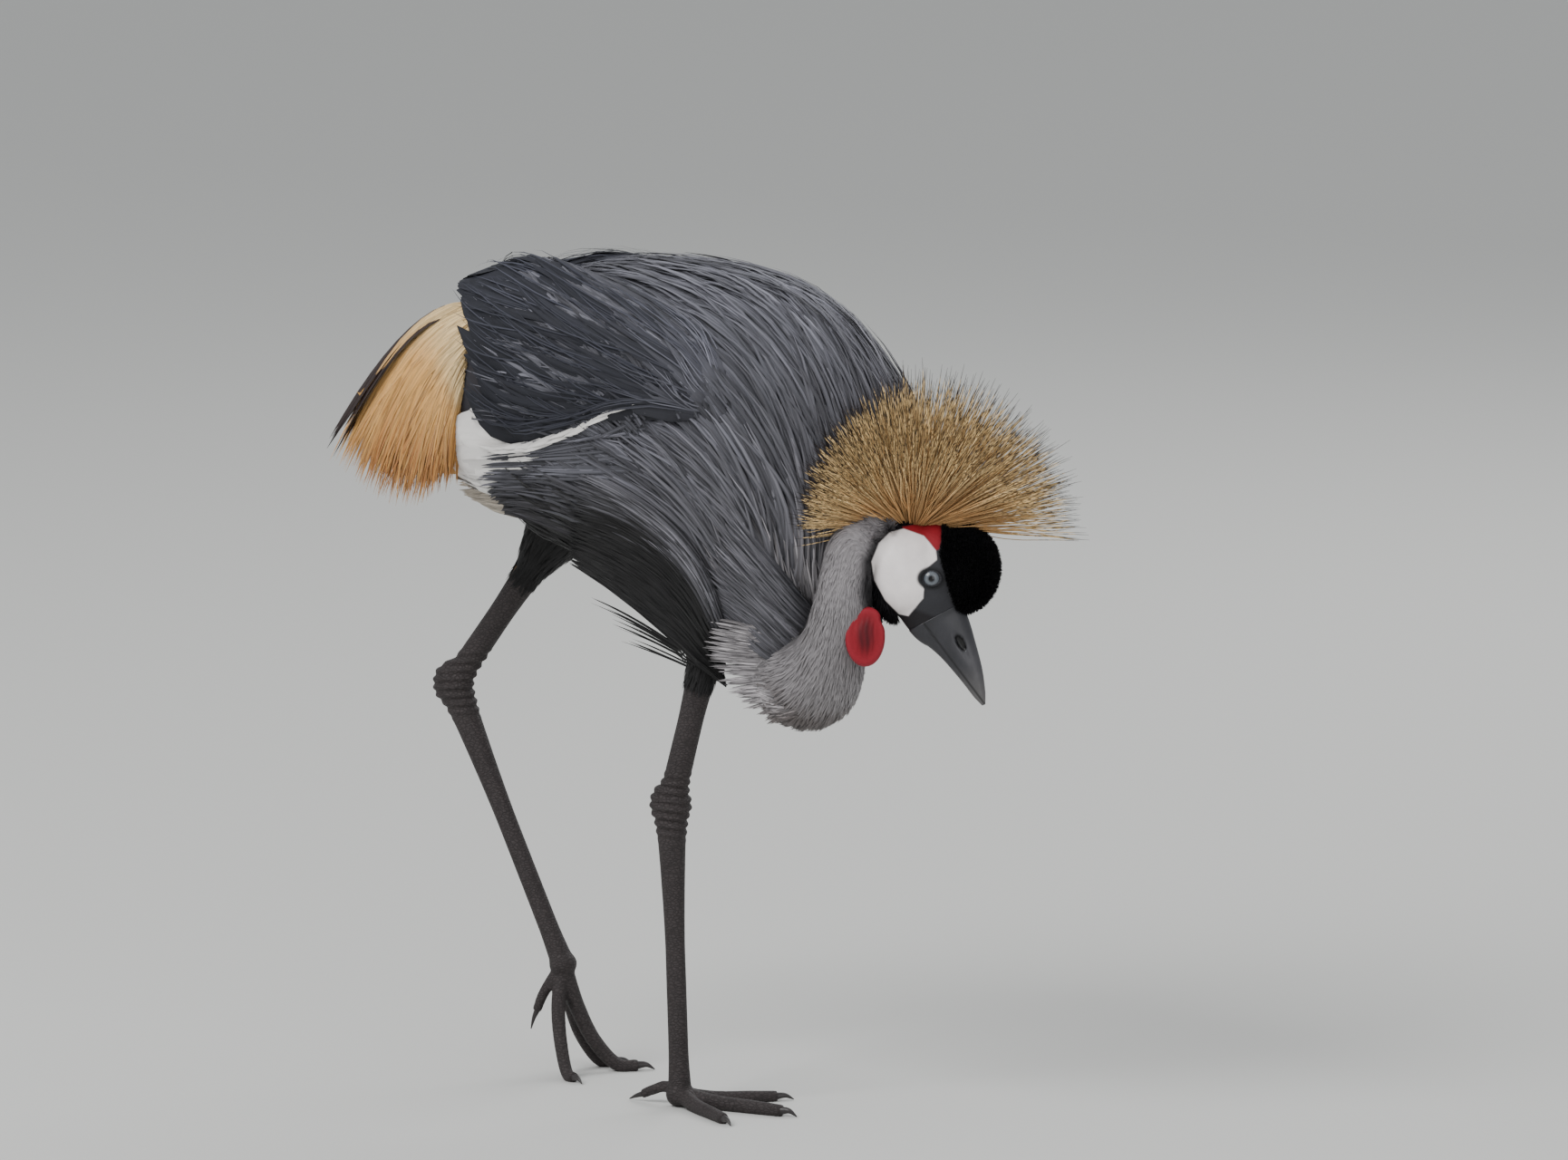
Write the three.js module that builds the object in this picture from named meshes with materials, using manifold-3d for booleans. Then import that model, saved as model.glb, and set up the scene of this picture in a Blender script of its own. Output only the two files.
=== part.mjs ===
// A grey crowned crane, life size, in mid stride with its head held low beside its breast.
// Millimetres. +X is the way the body faces, +Y its left, +Z up, and the floor is Z = 0.
import * as THREE from 'three';
import { mergeVertices } from 'three/addons/utils/BufferGeometryUtils.js';
import Module from 'manifold-3d';

const wasm = await Module();
wasm.setup();

// Sizes shared by the whole bird
const SEAM = 0.3;              // gap between two nodes that meet
const HALF_SEAM = SEAM / 2;
const SINK = 4;                // how deep a root goes into what it grows from
const COAT = 9;                // depth of the body plumage over the flesh
const SLIVER = 0.05;           // finest detail kept after solids are joined
const FOOTPRINT_X = 29;        // middle of the bird's box, from the body's own origin
const FOOTPRINT_Y = -9;
const UP = new THREE.Vector3(0, 0, 1);
const LEFT = new THREE.Vector3(0, 1, 0);

const v = (x, y, z) => new THREE.Vector3(x, y, z);
const radians = (degrees) => degrees * Math.PI / 180;

// Seeded random numbers, so that every build is the same
function makeRandom(seed) {
  let state = seed;
  return () => {
    state = (state * 1664525 + 1013904223) % 4294967296;
    return state / 4294967296;
  };
}

// Closed bodies
// Rings of equal count are joined in order, and each end is closed with a fan.
// A first or last ring of one point makes that end a tip.
function solidFromRings(rings) {
  const points = [];
  const faces = [];
  const starts = [];
  for (const ring of rings) {
    starts.push(points.length);
    points.push(...ring);
  }
  for (let k = 0; k + 1 < rings.length; k += 1) {
    joinRings(faces, starts[k], rings[k].length, starts[k + 1], rings[k + 1].length);
  }
  closeEnd(points, faces, starts[0], rings[0].length, true);
  closeEnd(points, faces, starts[rings.length - 1], rings[rings.length - 1].length, false);
  return solidFrom(points, faces);
}

function joinRings(faces, a, countA, b, countB) {
  const sides = Math.max(countA, countB);
  for (let j = 0; j < sides; j += 1) {
    const next = (j + 1) % sides;
    if (countA > 1 && countB > 1) {
      faces.push([a + j, b + j, b + next], [a + j, b + next, a + next]);
    } else if (countA > 1) {
      faces.push([a + j, b, a + next]);
    } else {
      faces.push([a, b + j, b + next]);
    }
  }
}

const FAN_FROM_MIDDLE = 6;     // larger ends get a middle point

function closeEnd(points, faces, start, count, first) {
  if (count === 1) {
    return;
  }
  const order = (p, q, r) => (first ? [p, q, r] : [p, r, q]);
  if (count <= FAN_FROM_MIDDLE) {
    for (let j = 1; j + 1 < count; j += 1) {
      faces.push(order(start, start + j, start + j + 1));
    }
    return;
  }
  const middle = v(0, 0, 0);
  for (let j = 0; j < count; j += 1) {
    middle.addScaledVector(points[start + j], 1 / count);
  }
  points.push(middle);
  for (let j = 0; j < count; j += 1) {
    faces.push(order(points.length - 1, start + j, start + (j + 1) % count));
  }
}

function signedVolume(points, faces) {
  let sum = 0;
  for (const [a, b, c] of faces) {
    sum += points[a].dot(points[b].clone().cross(points[c])) / 6;
  }
  return sum;
}

function solidFrom(points, faces) {
  const outward = signedVolume(points, faces) > 0 ? faces : faces.map(([a, b, c]) => [a, c, b]);
  const geometry = new THREE.BufferGeometry().setFromPoints(points);
  geometry.setIndex(outward.flat());
  return solidFromGeometry(geometry);
}

// A closed geometry as a solid that can be joined and cut
const MERGE = 1e-5;
function solidFromGeometry(geometry) {
  geometry.deleteAttribute('normal');
  geometry.deleteAttribute('uv');
  const merged = mergeVertices(geometry, MERGE);
  return new wasm.Manifold(new wasm.Mesh({
    numProp: 3,
    vertProperties: new Float32Array(merged.attributes.position.array),
    triVerts: new Uint32Array(merged.index.array),
  }));
}

// An ellipsoid with its reach along each axis
function ellipsoid(reach, sides) {
  const geometry = new THREE.SphereGeometry(1, sides, Math.round(sides / 2));
  geometry.scale(...reach);
  return solidFromGeometry(geometry);
}

const join = (solids) => wasm.Manifold.union(solids);
const mirrored = (solid) => solid.mirror([0, 1, 0]);

const curve = (places) => new THREE.CatmullRomCurve3(places, false, 'centripetal');

// A loft runs along a smooth line through its stations.
// Each station has its place and how far the body reaches up, down and sideways from the line.
class Loft {
  constructor(stations) {
    this.path = curve(stations.map((s) => s.at));
    this.reach = curve(stations.map((s) => v(s.up, s.down, s.side)));
    this.flank = curve(stations.map((s) => s.flank ?? LEFT));
  }

  // Place, direction and reach at t, from 0 at the first station to 1 at the last
  at(t) {
    const place = this.path.getPoint(t);
    const along = this.path.getTangent(t).normalize();
    const side = this.flank.getPoint(t);
    side.addScaledVector(along, -side.dot(along)).normalize();
    const up = side.clone().cross(along).negate();
    const reach = this.reach.getPoint(t);
    return { place, along, side, up, rise: reach.x, drop: reach.y, width: reach.z };
  }

  // Outward direction of the surface at t, at a turn in degrees from the top towards the side
  outward(t, turn) {
    const { side, up, rise, drop, width } = this.at(t);
    const c = Math.cos(radians(turn));
    const s = Math.sin(radians(turn));
    const height = c > 0 ? rise : drop;
    return up.multiplyScalar(c / height).addScaledVector(side, s / width).normalize();
  }

  point(t, turn, lift = 0) {
    const { place, side, up, rise, drop, width } = this.at(t);
    const c = Math.cos(radians(turn));
    const s = Math.sin(radians(turn));
    const height = c > 0 ? rise : drop;
    const edge = place.addScaledVector(up, c * height).addScaledVector(side, s * width);
    return lift === 0 ? edge : edge.addScaledVector(this.outward(t, turn), lift);
  }

  ring(t, sides, lift) {
    const ring = [];
    for (let j = 0; j < sides; j += 1) {
      ring.push(this.point(t, 360 * j / sides, lift));
    }
    return ring;
  }

  // The part of the loft between two values of t, with both ends moved inwards by endGap
  solid({ from = 0, to = 1, steps, sides, lift = 0, endGap = 0 }) {
    const rings = [];
    for (let k = 0; k <= steps; k += 1) {
      const t = from + (to - from) * k / steps;
      rings.push(this.ring(t, sides, typeof lift === 'function' ? lift(t) : lift));
    }
    const shift = (ring, t, distance) => {
      const step = this.at(t).along.multiplyScalar(distance);
      ring.forEach((p) => p.add(step));
    };
    shift(rings[0], from, endGap);
    shift(rings[steps], to, -endGap);
    return solidFromRings(rings);
  }
}

// A feather, lock or bristle: a tapering blade with a ridge on top and a keel beneath.
// Each stop along it has its place, its outward direction, half its width, its thickness outwards
// and, where it rests on what lies under it, the depth of its keel. Its two faces are split
// into triangles alike, and the last stop is the tip.
function blade(stops) {
  const points = [];
  const faces = [];
  const last = stops.length - 1;
  for (let k = 0; k < last; k += 1) {
    const { at, out, half, thick, keel = thick } = stops[k];
    const ahead = stops[k + 1].at.clone().sub(stops[Math.max(k - 1, 0)].at);
    const side = ahead.cross(out).normalize();
    points.push(
      at.clone().addScaledVector(side, -half),
      at.clone().addScaledVector(out, thick),
      at.clone().addScaledVector(side, half),
      at.clone().addScaledVector(out, -keel));
  }
  const tip = points.push(stops[last].at.clone()) - 1;
  for (let k = 0; k + 1 < last; k += 1) {
    const [left, ridge, right, keel] = [4 * k, 4 * k + 1, 4 * k + 2, 4 * k + 3];
    for (const middle of [ridge, keel]) {
      const flip = middle === keel;
      pushFace(faces, flip, left, left + 4, middle + 4);
      pushFace(faces, flip, left, middle + 4, middle);
      pushFace(faces, flip, middle, middle + 4, right + 4);
      pushFace(faces, flip, middle, right + 4, right);
    }
  }
  const end = 4 * (last - 1);
  faces.push([end, tip, end + 1], [end + 1, tip, end + 2], [end + 2, tip, end + 3], [end + 3, tip, end]);
  faces.push([0, 1, 2], [0, 2, 3]);
  return solidFrom(points, faces);
}

function pushFace(faces, flip, a, b, c) {
  faces.push(flip ? [a, c, b] : [a, b, c]);
}

// The line of the body from the rump through the breast and the bend of the neck to the crown.
// The head is turned a little to the left of the body and leans over, its top away from the right.
const HEAD_TURN = 25;
const HEAD_LEAN = 8;
const EYE_PLACE = v(221.4, -47.4, 394.3);
const headForward = v(Math.cos(radians(HEAD_TURN)), Math.sin(radians(HEAD_TURN)), 0);
const headRight = v(
  Math.sin(radians(HEAD_TURN)) * Math.cos(radians(HEAD_LEAN)),
  -Math.cos(radians(HEAD_TURN)) * Math.cos(radians(HEAD_LEAN)),
  Math.sin(radians(HEAD_LEAN)));
const headUp = headRight.clone().cross(headForward);

// A point of the head, in millimetres forward, up and to its right from between the eyes
function headPoint(forward, up, right = 0) {
  return EYE_PLACE.clone()
    .addScaledVector(headForward, forward)
    .addScaledVector(headUp, up)
    .addScaledVector(headRight, right);
}

const NECK_FLANK = v(0.74, 0.67, 0);
const trunk = new Loft([
  { at: v(-168, 0, 486), up: 16, down: 16, side: 20 },
  { at: v(-138, 0, 492), up: 50, down: 44, side: 50 },
  { at: v(-85, 0, 492), up: 88, down: 84, side: 78 },
  { at: v(-20, 0, 486), up: 112, down: 104, side: 90 },
  { at: v(42, 0, 460), up: 132, down: 103, side: 88 },
  { at: v(79, 0, 424), up: 122, down: 104, side: 80 },
  { at: v(97, 0, 386), up: 82, down: 92, side: 68 },
  { at: v(103, -2, 352), up: 46, down: 70, side: 50 },
  { at: v(108, -14, 330), up: 34, down: 44, side: 41, flank: NECK_FLANK },
  { at: v(122, -38, 317), up: 27, down: 36, side: 36, flank: NECK_FLANK },
  { at: v(144, -60, 327), up: 26, down: 28, side: 27, flank: NECK_FLANK },
  { at: v(158, -71, 348), up: 22.5, down: 22.5, side: 20.5, flank: NECK_FLANK },
  { at: headPoint(-62, -19), up: 21, down: 21, side: 18.5, flank: NECK_FLANK },
  { at: headPoint(-58, 2), up: 22, down: 21, side: 18, flank: NECK_FLANK },
  { at: headPoint(-50, 20), up: 23, down: 21, side: 20, flank: NECK_FLANK },
  { at: headPoint(-28, 23), up: 20, down: 20, side: 18, flank: NECK_FLANK },
]);
const SPANS = 15;             // spans between the stations of the trunk
const TORSO_END = 7 / SPANS;
const NECK_BASE_END = 8.5 / SPANS;
const NECK_BEND_END = 10.5 / SPANS;
const NECK_END = 12 / SPANS;
const TRUNK_SIDES = 22;
const TORSO_STEPS = 14;

// The coat thins out towards the neck. Under it lies a core, and the plumes stand on that.
const CORE_SHARE = 0.4;
const coatAt = (t) => COAT * Math.min(1, 0.1 + 3 * (1 - t / TORSO_END));
const torsoSolid = (lift, endGap) => trunk.solid({
  to: TORSO_END, steps: TORSO_STEPS, sides: TRUNK_SIDES, lift, endGap,
});
const torsoCore = (gap) => torsoSolid(
  (t) => CORE_SHARE * coatAt(t) + gap, gap > 0 ? -gap : HALF_SEAM);
const PLUME_STAND = 3;         // how far the plumes reach past the coat's mean depth
const coatRoom = () => torsoSolid((t) => coatAt(t) + PLUME_STAND + SEAM, -SEAM);

const HACKLE_STAND = 4;        // how far the hackles of the neck stand out
const neckRoom = (gap = SEAM) => trunk.solid({
  from: TORSO_END, steps: 16, sides: 18, lift: gap, endGap: -SEAM,
});

// Rows of plumes over the torso, from the neck back to the rump, each row overlapping the next.
// A row has its place in spans of the trunk, its number round the body, and its length and width.
const BODY_ROWS = [
  { span: 6.6, count: 10, length: 64, width: 32 },
  { span: 5.7, count: 11, length: 84, width: 40 },
  { span: 4.7, count: 12, length: 96, width: 46 },
  { span: 3.7, count: 12, length: 96, width: 48 },
  { span: 2.7, count: 10, length: 84, width: 46 },
  { span: 1.7, count: 9, length: 60, width: 38 },
];
const WING_FROM = 28;          // the folded wings hide the torso between these turns
const WING_TO = 106;
const WING_FRONT = 3.9;        // and behind this span of the trunk

function underWing(span, turn) {
  const away = Math.abs(turn > 180 ? turn - 360 : turn);
  return span < WING_FRONT && away > WING_FROM && away < WING_TO;
}

// Long loose locks below the breast, on either side, that hang over the upper legs
const APRON_LOCKS = 3;

function bodyPlumes() {
  const random = makeRandom(11);
  const plumes = [];
  for (const [row, { span, count, length, width }] of BODY_ROWS.entries()) {
    for (let j = 0; j < count; j += 1) {
      const turn = 360 * (j + (row % 2) / 2) / count + 4 * (random() - 0.5);
      if (underWing(span, turn)) {
        continue;
      }
      const t = span / SPANS;
      const sag = turn < 180 ? 9 : -9;
      plumes.push(plume(trunk, {
        t,
        turn,
        length: length * (0.9 + 0.2 * random()),
        width,
        base: CORE_SHARE * coatAt(t),
        lift: (1 - CORE_SHARE) * coatAt(t) + (j % 2 ? 2.2 : 0.2),
        drift: sag * Math.sin(radians(turn)) ** 2,
      }));
    }
  }
  for (const side of [-1, 1]) {
    for (let j = 0; j < APRON_LOCKS; j += 1) {
      plumes.push(plume(trunk, {
        t: 6.8 / SPANS,
        turn: 180 + side * (12 + 22 * j),
        length: 92 + 8 * (j % 2),
        width: 32,
        lift: 14 - 2 * (j % 2),
        drift: -9 * side,
      }));
    }
  }
  return join(plumes);
}

function torsoWithPlumes() {
  const free = bodyPlumes()
    .subtract(thighSolid('right', SEAM))
    .subtract(thighSolid('left', SEAM))
    .subtract(wingRoom('right'))
    .subtract(wingRoom('left'))
    .subtract(tailRoom(SEAM))
    .subtract(neckRoom(HACKLE_STAND + 1));
  return join([torsoCore(0), free]);
}

// A fan of long hackles spreads from the bend of the neck over the foot of the breast on the right
const FAN_ROOTS = curve([v(110, -50, 338), v(104, -48, 328), v(108, -48, 314), v(120, -52, 302)]);
const FAN_TIPS = curve([v(62, -69, 358), v(61, -65, 330), v(75, -58, 303), v(100, -54, 283)]);
const FAN_LOCKS = 10;

function hackleFan() {
  const locks = [];
  for (let j = 0; j < FAN_LOCKS; j += 1) {
    const across = j / (FAN_LOCKS - 1);
    const root = FAN_ROOTS.getPoint(across);
    const tip = FAN_TIPS.getPoint(across).lerp(root, 0.12 * (j % 2));
    locks.push(straightVane(root, tip, 8, OUT_RIGHT, 3));
  }
  return join(locks)
    .subtract(coatRoom())
    .subtract(thighSolid('right', SEAM));
}

// A length of the neck, with rows of short pointed hackles that lie towards the body
function neckPart(from, to, steps, rows = [], sides = 18) {
  const random = makeRandom(23);
  const pieces = [trunk.solid({ from, to, steps, sides, endGap: HALF_SEAM })];
  for (const { span, count, length, width } of rows) {
    for (let j = 0; j < count; j += 1) {
      const turn = 60 + 240 * (j + random() * 0.4) / count;
      pieces.push(plume(trunk, {
        t: span / SPANS, turn, length: length * (0.85 + 0.3 * random()), width,
        lift: HACKLE_STAND - 0.8 * (j % 2),
      }));
    }
  }
  return join(pieces).subtract(thighSolid('right', SEAM));
}

// Feathers that lie along a loft
// A plume starts at t and turn, runs the given way along the loft for its length, and drifts round it.
// Its lift rises from below the surface at the root to its own height, and it narrows to a tip.
// Over its first half it rests on the surface beneath; past the end of the loft it runs on straight.
const LONG = { widths: [0.6, 1, 0.8], lifts: [0, 0.5, 0.95, 0.85], resting: 2 };
const LEAF = { widths: [0.7, 1], lifts: [0, 0.8, 0.9], resting: 2 };
const PLUME_THICK = 1.3;
const RESTING_DEPTH = 1.5;     // how deep the resting part of a plume sinks into the surface

function plume(loft, {
  form = LEAF, t, turn, length, width, lift, drift = 0, way = -1, base = 0, droop = 0,
}) {
  const stops = [];
  const count = form.widths.length;
  const step = length / count;
  let place = t;
  let free = null;
  for (let k = 0; k <= count; k += 1) {
    const here = turn + drift * k / count;
    const rise = lift * form.lifts[k] - (k === 0 ? SINK : 0);
    if (free) {
      free.ahead.z -= droop;
      free.at.addScaledVector(free.ahead.normalize(), step);
    }
    stops.push({
      at: free ? free.at.clone() : loft.point(place, here, base + rise),
      out: free ? free.out : loft.outward(place, here),
      half: width / 2 * (form.widths[k] ?? 0),
      thick: PLUME_THICK,
      keel: k < form.resting ? Math.max(PLUME_THICK, rise + RESTING_DEPTH) : PLUME_THICK,
    });
    const ahead = loft.point(Math.min(place + 0.01, 1), here).distanceTo(loft.point(place, here));
    const next = place + way * step * 0.01 / Math.max(ahead, 0.01);
    if (!free && (next < 0.004 || next > 0.996)) {
      const { at, out } = stops[k];
      free = { at: at.clone(), out, ahead: loft.at(place).along.multiplyScalar(way) };
    }
    place = Math.min(Math.max(next, 0), 1);
  }
  return blade(stops);
}

// Materials
function look(color, roughness) {
  return new THREE.MeshStandardMaterial({ color, roughness });
}

const GREY = 0x6d6c72;
const PALE_GREY = 0x9a989b;
const SLATE = 0x3f4149;
const BLACK = 0x17161a;
const LEG = 0x3a3436;
const WHITE = 0xe8e4e0;
const RED = 0xb3242c;
const GOLD = 0xc99a4b;
const IRIS = 0x8e9aa4;
const BILL = 0x4a4a50;

const bird = new THREE.Group();
bird.name = 'grey_crowned_crane';

// Adds a node, keeping only the largest closed surface of its solid
function addNode(name, solid, color, roughness = 0.8) {
  const pieces = solid.simplify(SLIVER).decompose();
  pieces.sort((a, b) => b.volume() - a.volume());
  const { vertProperties, triVerts } = pieces[0].getMesh();
  const raw = new THREE.BufferGeometry();
  raw.setAttribute('position', new THREE.BufferAttribute(vertProperties, 3));
  raw.setIndex(new THREE.BufferAttribute(triVerts, 1));
  const geometry = mergeVertices(raw, 1e-3);
  geometry.computeVertexNormals();
  const mesh = new THREE.Mesh(geometry, look(color, roughness));
  mesh.name = name;
  bird.add(mesh);
}

// The wings are folded over the back, each a long lens that widens and droops behind
const OUT_RIGHT = v(0, -1, 0);
const WING_SIDES = 14;
const WING_STEPS = 7;
const wingLoft = new Loft([
  { at: v(72, -72, 508), up: 14, down: 14, side: 14 },
  { at: v(46, -70, 518), up: 38, down: 38, side: 30 },
  { at: v(-10, -66, 522), up: 58, down: 60, side: 39 },
  { at: v(-75, -58, 516), up: 74, down: 78, side: 42 },
  { at: v(-125, -48, 508), up: 66, down: 74, side: 40 },
  { at: v(-160, -40, 500), up: 50, down: 58, side: 32 },
  { at: v(-180, -36, 490), up: 26, down: 32, side: 20 },
].map((station) => ({ ...station, flank: OUT_RIGHT })));
const VANE_STAND = 5;          // how far the vanes of the wing stand off the lens
const WING_CLEAR = 3;          // room kept between the wing's vanes and the plumes of the body
const PLUME_CLEAR = 6;         // and round the hanging plumes

const wingLens = (gap) => wingLoft.solid({
  steps: WING_STEPS, sides: WING_SIDES, lift: gap, endGap: gap > 0 ? -gap : HALF_SEAM,
});

// The room that a folded wing and its hanging plumes need
function wingRoom(side) {
  const right = join([
    wingLens(VANE_STAND + WING_CLEAR),
    plumeBody.solid({ steps: 4, sides: 12, lift: PLUME_CLEAR, endGap: -PLUME_CLEAR }),
  ]);
  return side === 'right' ? right : mirrored(right);
}

// Everything on the right of the middle plane, half a seam away from it
function rightHalf(solid) {
  return solid.trimByPlane([0, -1, 0], HALF_SEAM);
}

// The space behind the wing that its long drooping plumes fill
const plumeBody = new Loft([
  { at: v(-126, -54, 506), up: 50, down: 66, side: 26 },
  { at: v(-172, -56, 488), up: 54, down: 54, side: 22 },
  { at: v(-208, -56, 464), up: 50, down: 36, side: 16 },
  { at: v(-242, -52, 438), up: 26, down: 14, side: 8 },
].map((station) => ({ ...station, flank: OUT_RIGHT })));

// The tail lies in the gap between the plumes of the two wings
const TAIL_LINE = new Loft([
  { at: v(-110, 0, 480), up: 18, down: 18, side: 28 },
  { at: v(-160, 0, 476), up: 13, down: 13, side: 28 },
  { at: v(-200, 0, 458), up: 11, down: 11, side: 31 },
  { at: v(-238, 0, 436), up: 8, down: 8, side: 30 },
]);
const tailRoom = (lift) => TAIL_LINE.solid({ steps: 4, sides: 14, lift, endGap: -lift });
const TAIL_VANES = 5;

function tailSolid() {
  const root = TAIL_LINE.solid({ to: 0.42, steps: 3, sides: 14, lift: -3 });
  const vanes = [];
  for (let j = 0; j < TAIL_VANES; j += 1) {
    const across = j / (TAIL_VANES - 1) - 0.5;
    const start = v(-140, across * 26, 478 - 4 * Math.abs(across));
    const end = v(-236 + 22 * Math.abs(across), across * 50, 437 + 5 * (j % 2));
    vanes.push(straightVane(start, end, 16, UP, 5));
  }
  return join([root, ...vanes])
    .intersect(tailRoom(0))
    .subtract(torsoCore(SEAM))
    .subtract(coatRoom().intersect(TAIL_LINE.solid({ from: 0.5, steps: 3, sides: 14, lift: 6 })));
}

// A broad blade from start to end that sags in the middle by bow
function straightVane(start, end, half, out, bow, widths = [0.5, 0.9, 1, 0.75]) {
  const stops = widths.map((share, k) => {
    const along = k / widths.length;
    const at = start.clone().lerp(end, along).addScaledVector(out, bow * Math.sin(Math.PI * along));
    return { at, out, half: half * share, thick: 1.2 };
  });
  stops.push({ at: end, out, half: 0, thick: 0 });
  return blade(stops);
}

// Tiers of broad vanes on the folded wing, from the shoulder back.
// Each tier has its place along the lens, the turns it spans, its count and the size of its vanes.
const WING_TIERS = [
  { t: 0.16, from: 20, to: 145, count: 3, length: 66, width: 46 },
  { t: 0.36, from: 12, to: 162, count: 4, length: 76, width: 56 },
  { t: 0.58, from: 14, to: 168, count: 4, length: 76, width: 58 },
  { t: 0.78, from: 22, to: 168, count: 4, length: 60, width: 52 },
];

// The long feathers behind: dark quills above, golden plumes that droop over them outside
const QUILLS = 4;
const GOLD_PLUMES = 7;

function wingVanes() {
  const random = makeRandom(37);
  const vanes = [];
  for (const { t, from, to, count, length, width } of WING_TIERS) {
    for (let j = 0; j < count; j += 1) {
      vanes.push(plume(wingLoft, {
        t,
        turn: from + (to - from) * (j + 0.5) / count,
        length: length * (0.92 + 0.16 * random()),
        width,
        lift: VANE_STAND - 1.8 * (j % 2),
        way: 1,
        drift: 6,
      }));
    }
  }
  return vanes;
}

function hangingPlumes() {
  const random = makeRandom(41);
  const plumes = [];
  for (let j = 0; j < QUILLS; j += 1) {
    plumes.push(plume(plumeBody, {
      form: LONG, t: 0.2, turn: -16 + 90 * j / (QUILLS - 1), length: 116 - 4 * j, width: 30,
      base: -6, lift: 4 - 2 * (j % 2), way: 1, drift: 10, droop: 0.1,
    }));
  }
  for (let j = 0; j < GOLD_PLUMES; j += 1) {
    plumes.push(plume(plumeBody, {
      form: LONG,
      t: 0.14 + 0.04 * (j % 2),
      turn: 24 + 140 * j / (GOLD_PLUMES - 1),
      length: 104 - 34 * j / GOLD_PLUMES + 10 * random(),
      width: 24,
      lift: 2 + 2.6 * (j % 2),
      way: 1,
      drift: 14,
      droop: 0.16,
    }));
  }
  return plumes;
}

function wing(side) {
  const behind = plumeBody.solid({ to: 0.55, steps: 3, sides: 12, lift: -5 });
  const plumes = join([behind, ...hangingPlumes()]).subtract(coatRoom());
  const right = rightHalf(join([wingLens(0), ...wingVanes(), plumes]));
  const whole = side === 'right' ? right : mirrored(right);
  return whole
    .subtract(torsoCore(SEAM))
    .subtract(tailRoom(SEAM))
    .subtract(thighSolid('left', SEAM))
    .subtract(thighSolid('right', SEAM));
}

// Legs. Each station list runs from the body down.
const RIGHT_HOCK = v(16, -42, 219);
const RIGHT_TOES = v(21, -38, 8.8);
const LEFT_HOCK = v(-202, 48, 280);
const LEFT_TOES = v(-113, 46, 80);
const RIGHT_SHANK_TOP = v(44, -48, 318);
const LEFT_SHANK_TOP = v(-140, 48, 366);

const thighs = {
  right: new Loft([
    { at: v(80, -40, 450), up: 44, down: 44, side: 26 },
    { at: v(62, -43, 384), up: 30, down: 30, side: 20 },
    { at: v(50, -47, 342), up: 16, down: 16, side: 13.5 },
    { at: RIGHT_SHANK_TOP, up: 11, down: 11, side: 10.5 },
  ]),
  left: new Loft([
    { at: v(-40, 42, 476), up: 50, down: 50, side: 34 },
    { at: v(-88, 46, 428), up: 38, down: 38, side: 28 },
    { at: v(-122, 48, 390), up: 20, down: 22, side: 18 },
    { at: LEFT_SHANK_TOP, up: 11, down: 11, side: 10.5 },
  ]),
};

const thighSolid = (side, lift) => thighs[side].solid({
  steps: 5, sides: 14, lift, endGap: lift > 0 ? -lift : HALF_SEAM,
});

const between = (a, b, share) => a.clone().lerp(b, share);

function shankLoft(top, hock) {
  return new Loft([
    { at: top, up: 10.8, down: 10.8, side: 10.2 },
    { at: between(top, hock, 0.4), up: 9.2, down: 9.2, side: 8.6 },
    { at: between(top, hock, 0.8), up: 9.6, down: 9.6, side: 8.8 },
    { at: hock, up: 14, down: 14, side: 11 },
  ]);
}

function tarsusLoft(hock, toes) {
  return new Loft([
    { at: hock, up: 14, down: 14, side: 11 },
    { at: between(hock, toes, 0.14), up: 10, down: 10, side: 9 },
    { at: between(hock, toes, 0.5), up: 7.4, down: 7.4, side: 6.2 },
    { at: between(hock, toes, 0.86), up: 7.4, down: 7.4, side: 6.8 },
    { at: toes, up: 8.6, down: 8.6, side: 9 },
  ]);
}

const HOCK_REACH = [14.5, 11.5, 15];
const HOCK_SHARE = 0.11;       // share of each leg bone taken up by the hock node
const LEG_SIDES = 8;
const LEG_STEPS = 6;

function ball(centre, reach, sides = 12) {
  return ellipsoid(reach, sides).translate(centre.toArray());
}

// Each toe is a loft from the foot pad to its claw, flat beneath where it rests
const TOE_SIDES = 8;
const TOE_STEPS = 6;
const FLOOR_DIP = 0.7;         // how far a pad would bulge below the floor before it is cut flat
const PAD = [10, 10.8, 9.5];
const TOE_GIRTH = { middle: 6, inner: 5.4, outer: 5.6, hind: 4.4 };
const TOE_END_GIRTH = 0.78;    // girth at the root of the claw, as a share of that at the foot
const onFloor = (x, y, girth) => v(x, y, girth - FLOOR_DIP);

const trails = {
  right: {
    middle: [RIGHT_TOES, onFloor(48, -39, 5.8), onFloor(78, -41, 5.2), onFloor(104, -43, 4.7)],
    inner: [RIGHT_TOES, onFloor(40, -19, 5.1), onFloor(60, -3, 4.6), onFloor(76, 9, 4.2)],
    outer: [RIGHT_TOES, onFloor(42, -55, 5.3), onFloor(63, -73, 4.8), onFloor(79, -87, 4.4)],
    hind: [RIGHT_TOES, v(9, -35.5, 13), v(-2, -34, 9.5), v(-11, -33, 5.6)],
  },
  left: {
    middle: [LEFT_TOES, v(-104, 51, 48), v(-93, 58, 22), onFloor(-78, 67, 5), onFloor(-66, 74, 4.7)],
    inner: [LEFT_TOES, v(-112, 36, 50), v(-106, 28, 24), onFloor(-96, 19, 4.4), onFloor(-88, 13, 4.2)],
    outer: [LEFT_TOES, v(-112, 57, 48), v(-107, 66, 23), onFloor(-97, 78, 4.6), onFloor(-89, 85, 4.4)],
    hind: [LEFT_TOES, v(-121, 42, 67), v(-127, 40, 56), v(-131, 39, 45)],
  },
};

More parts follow.
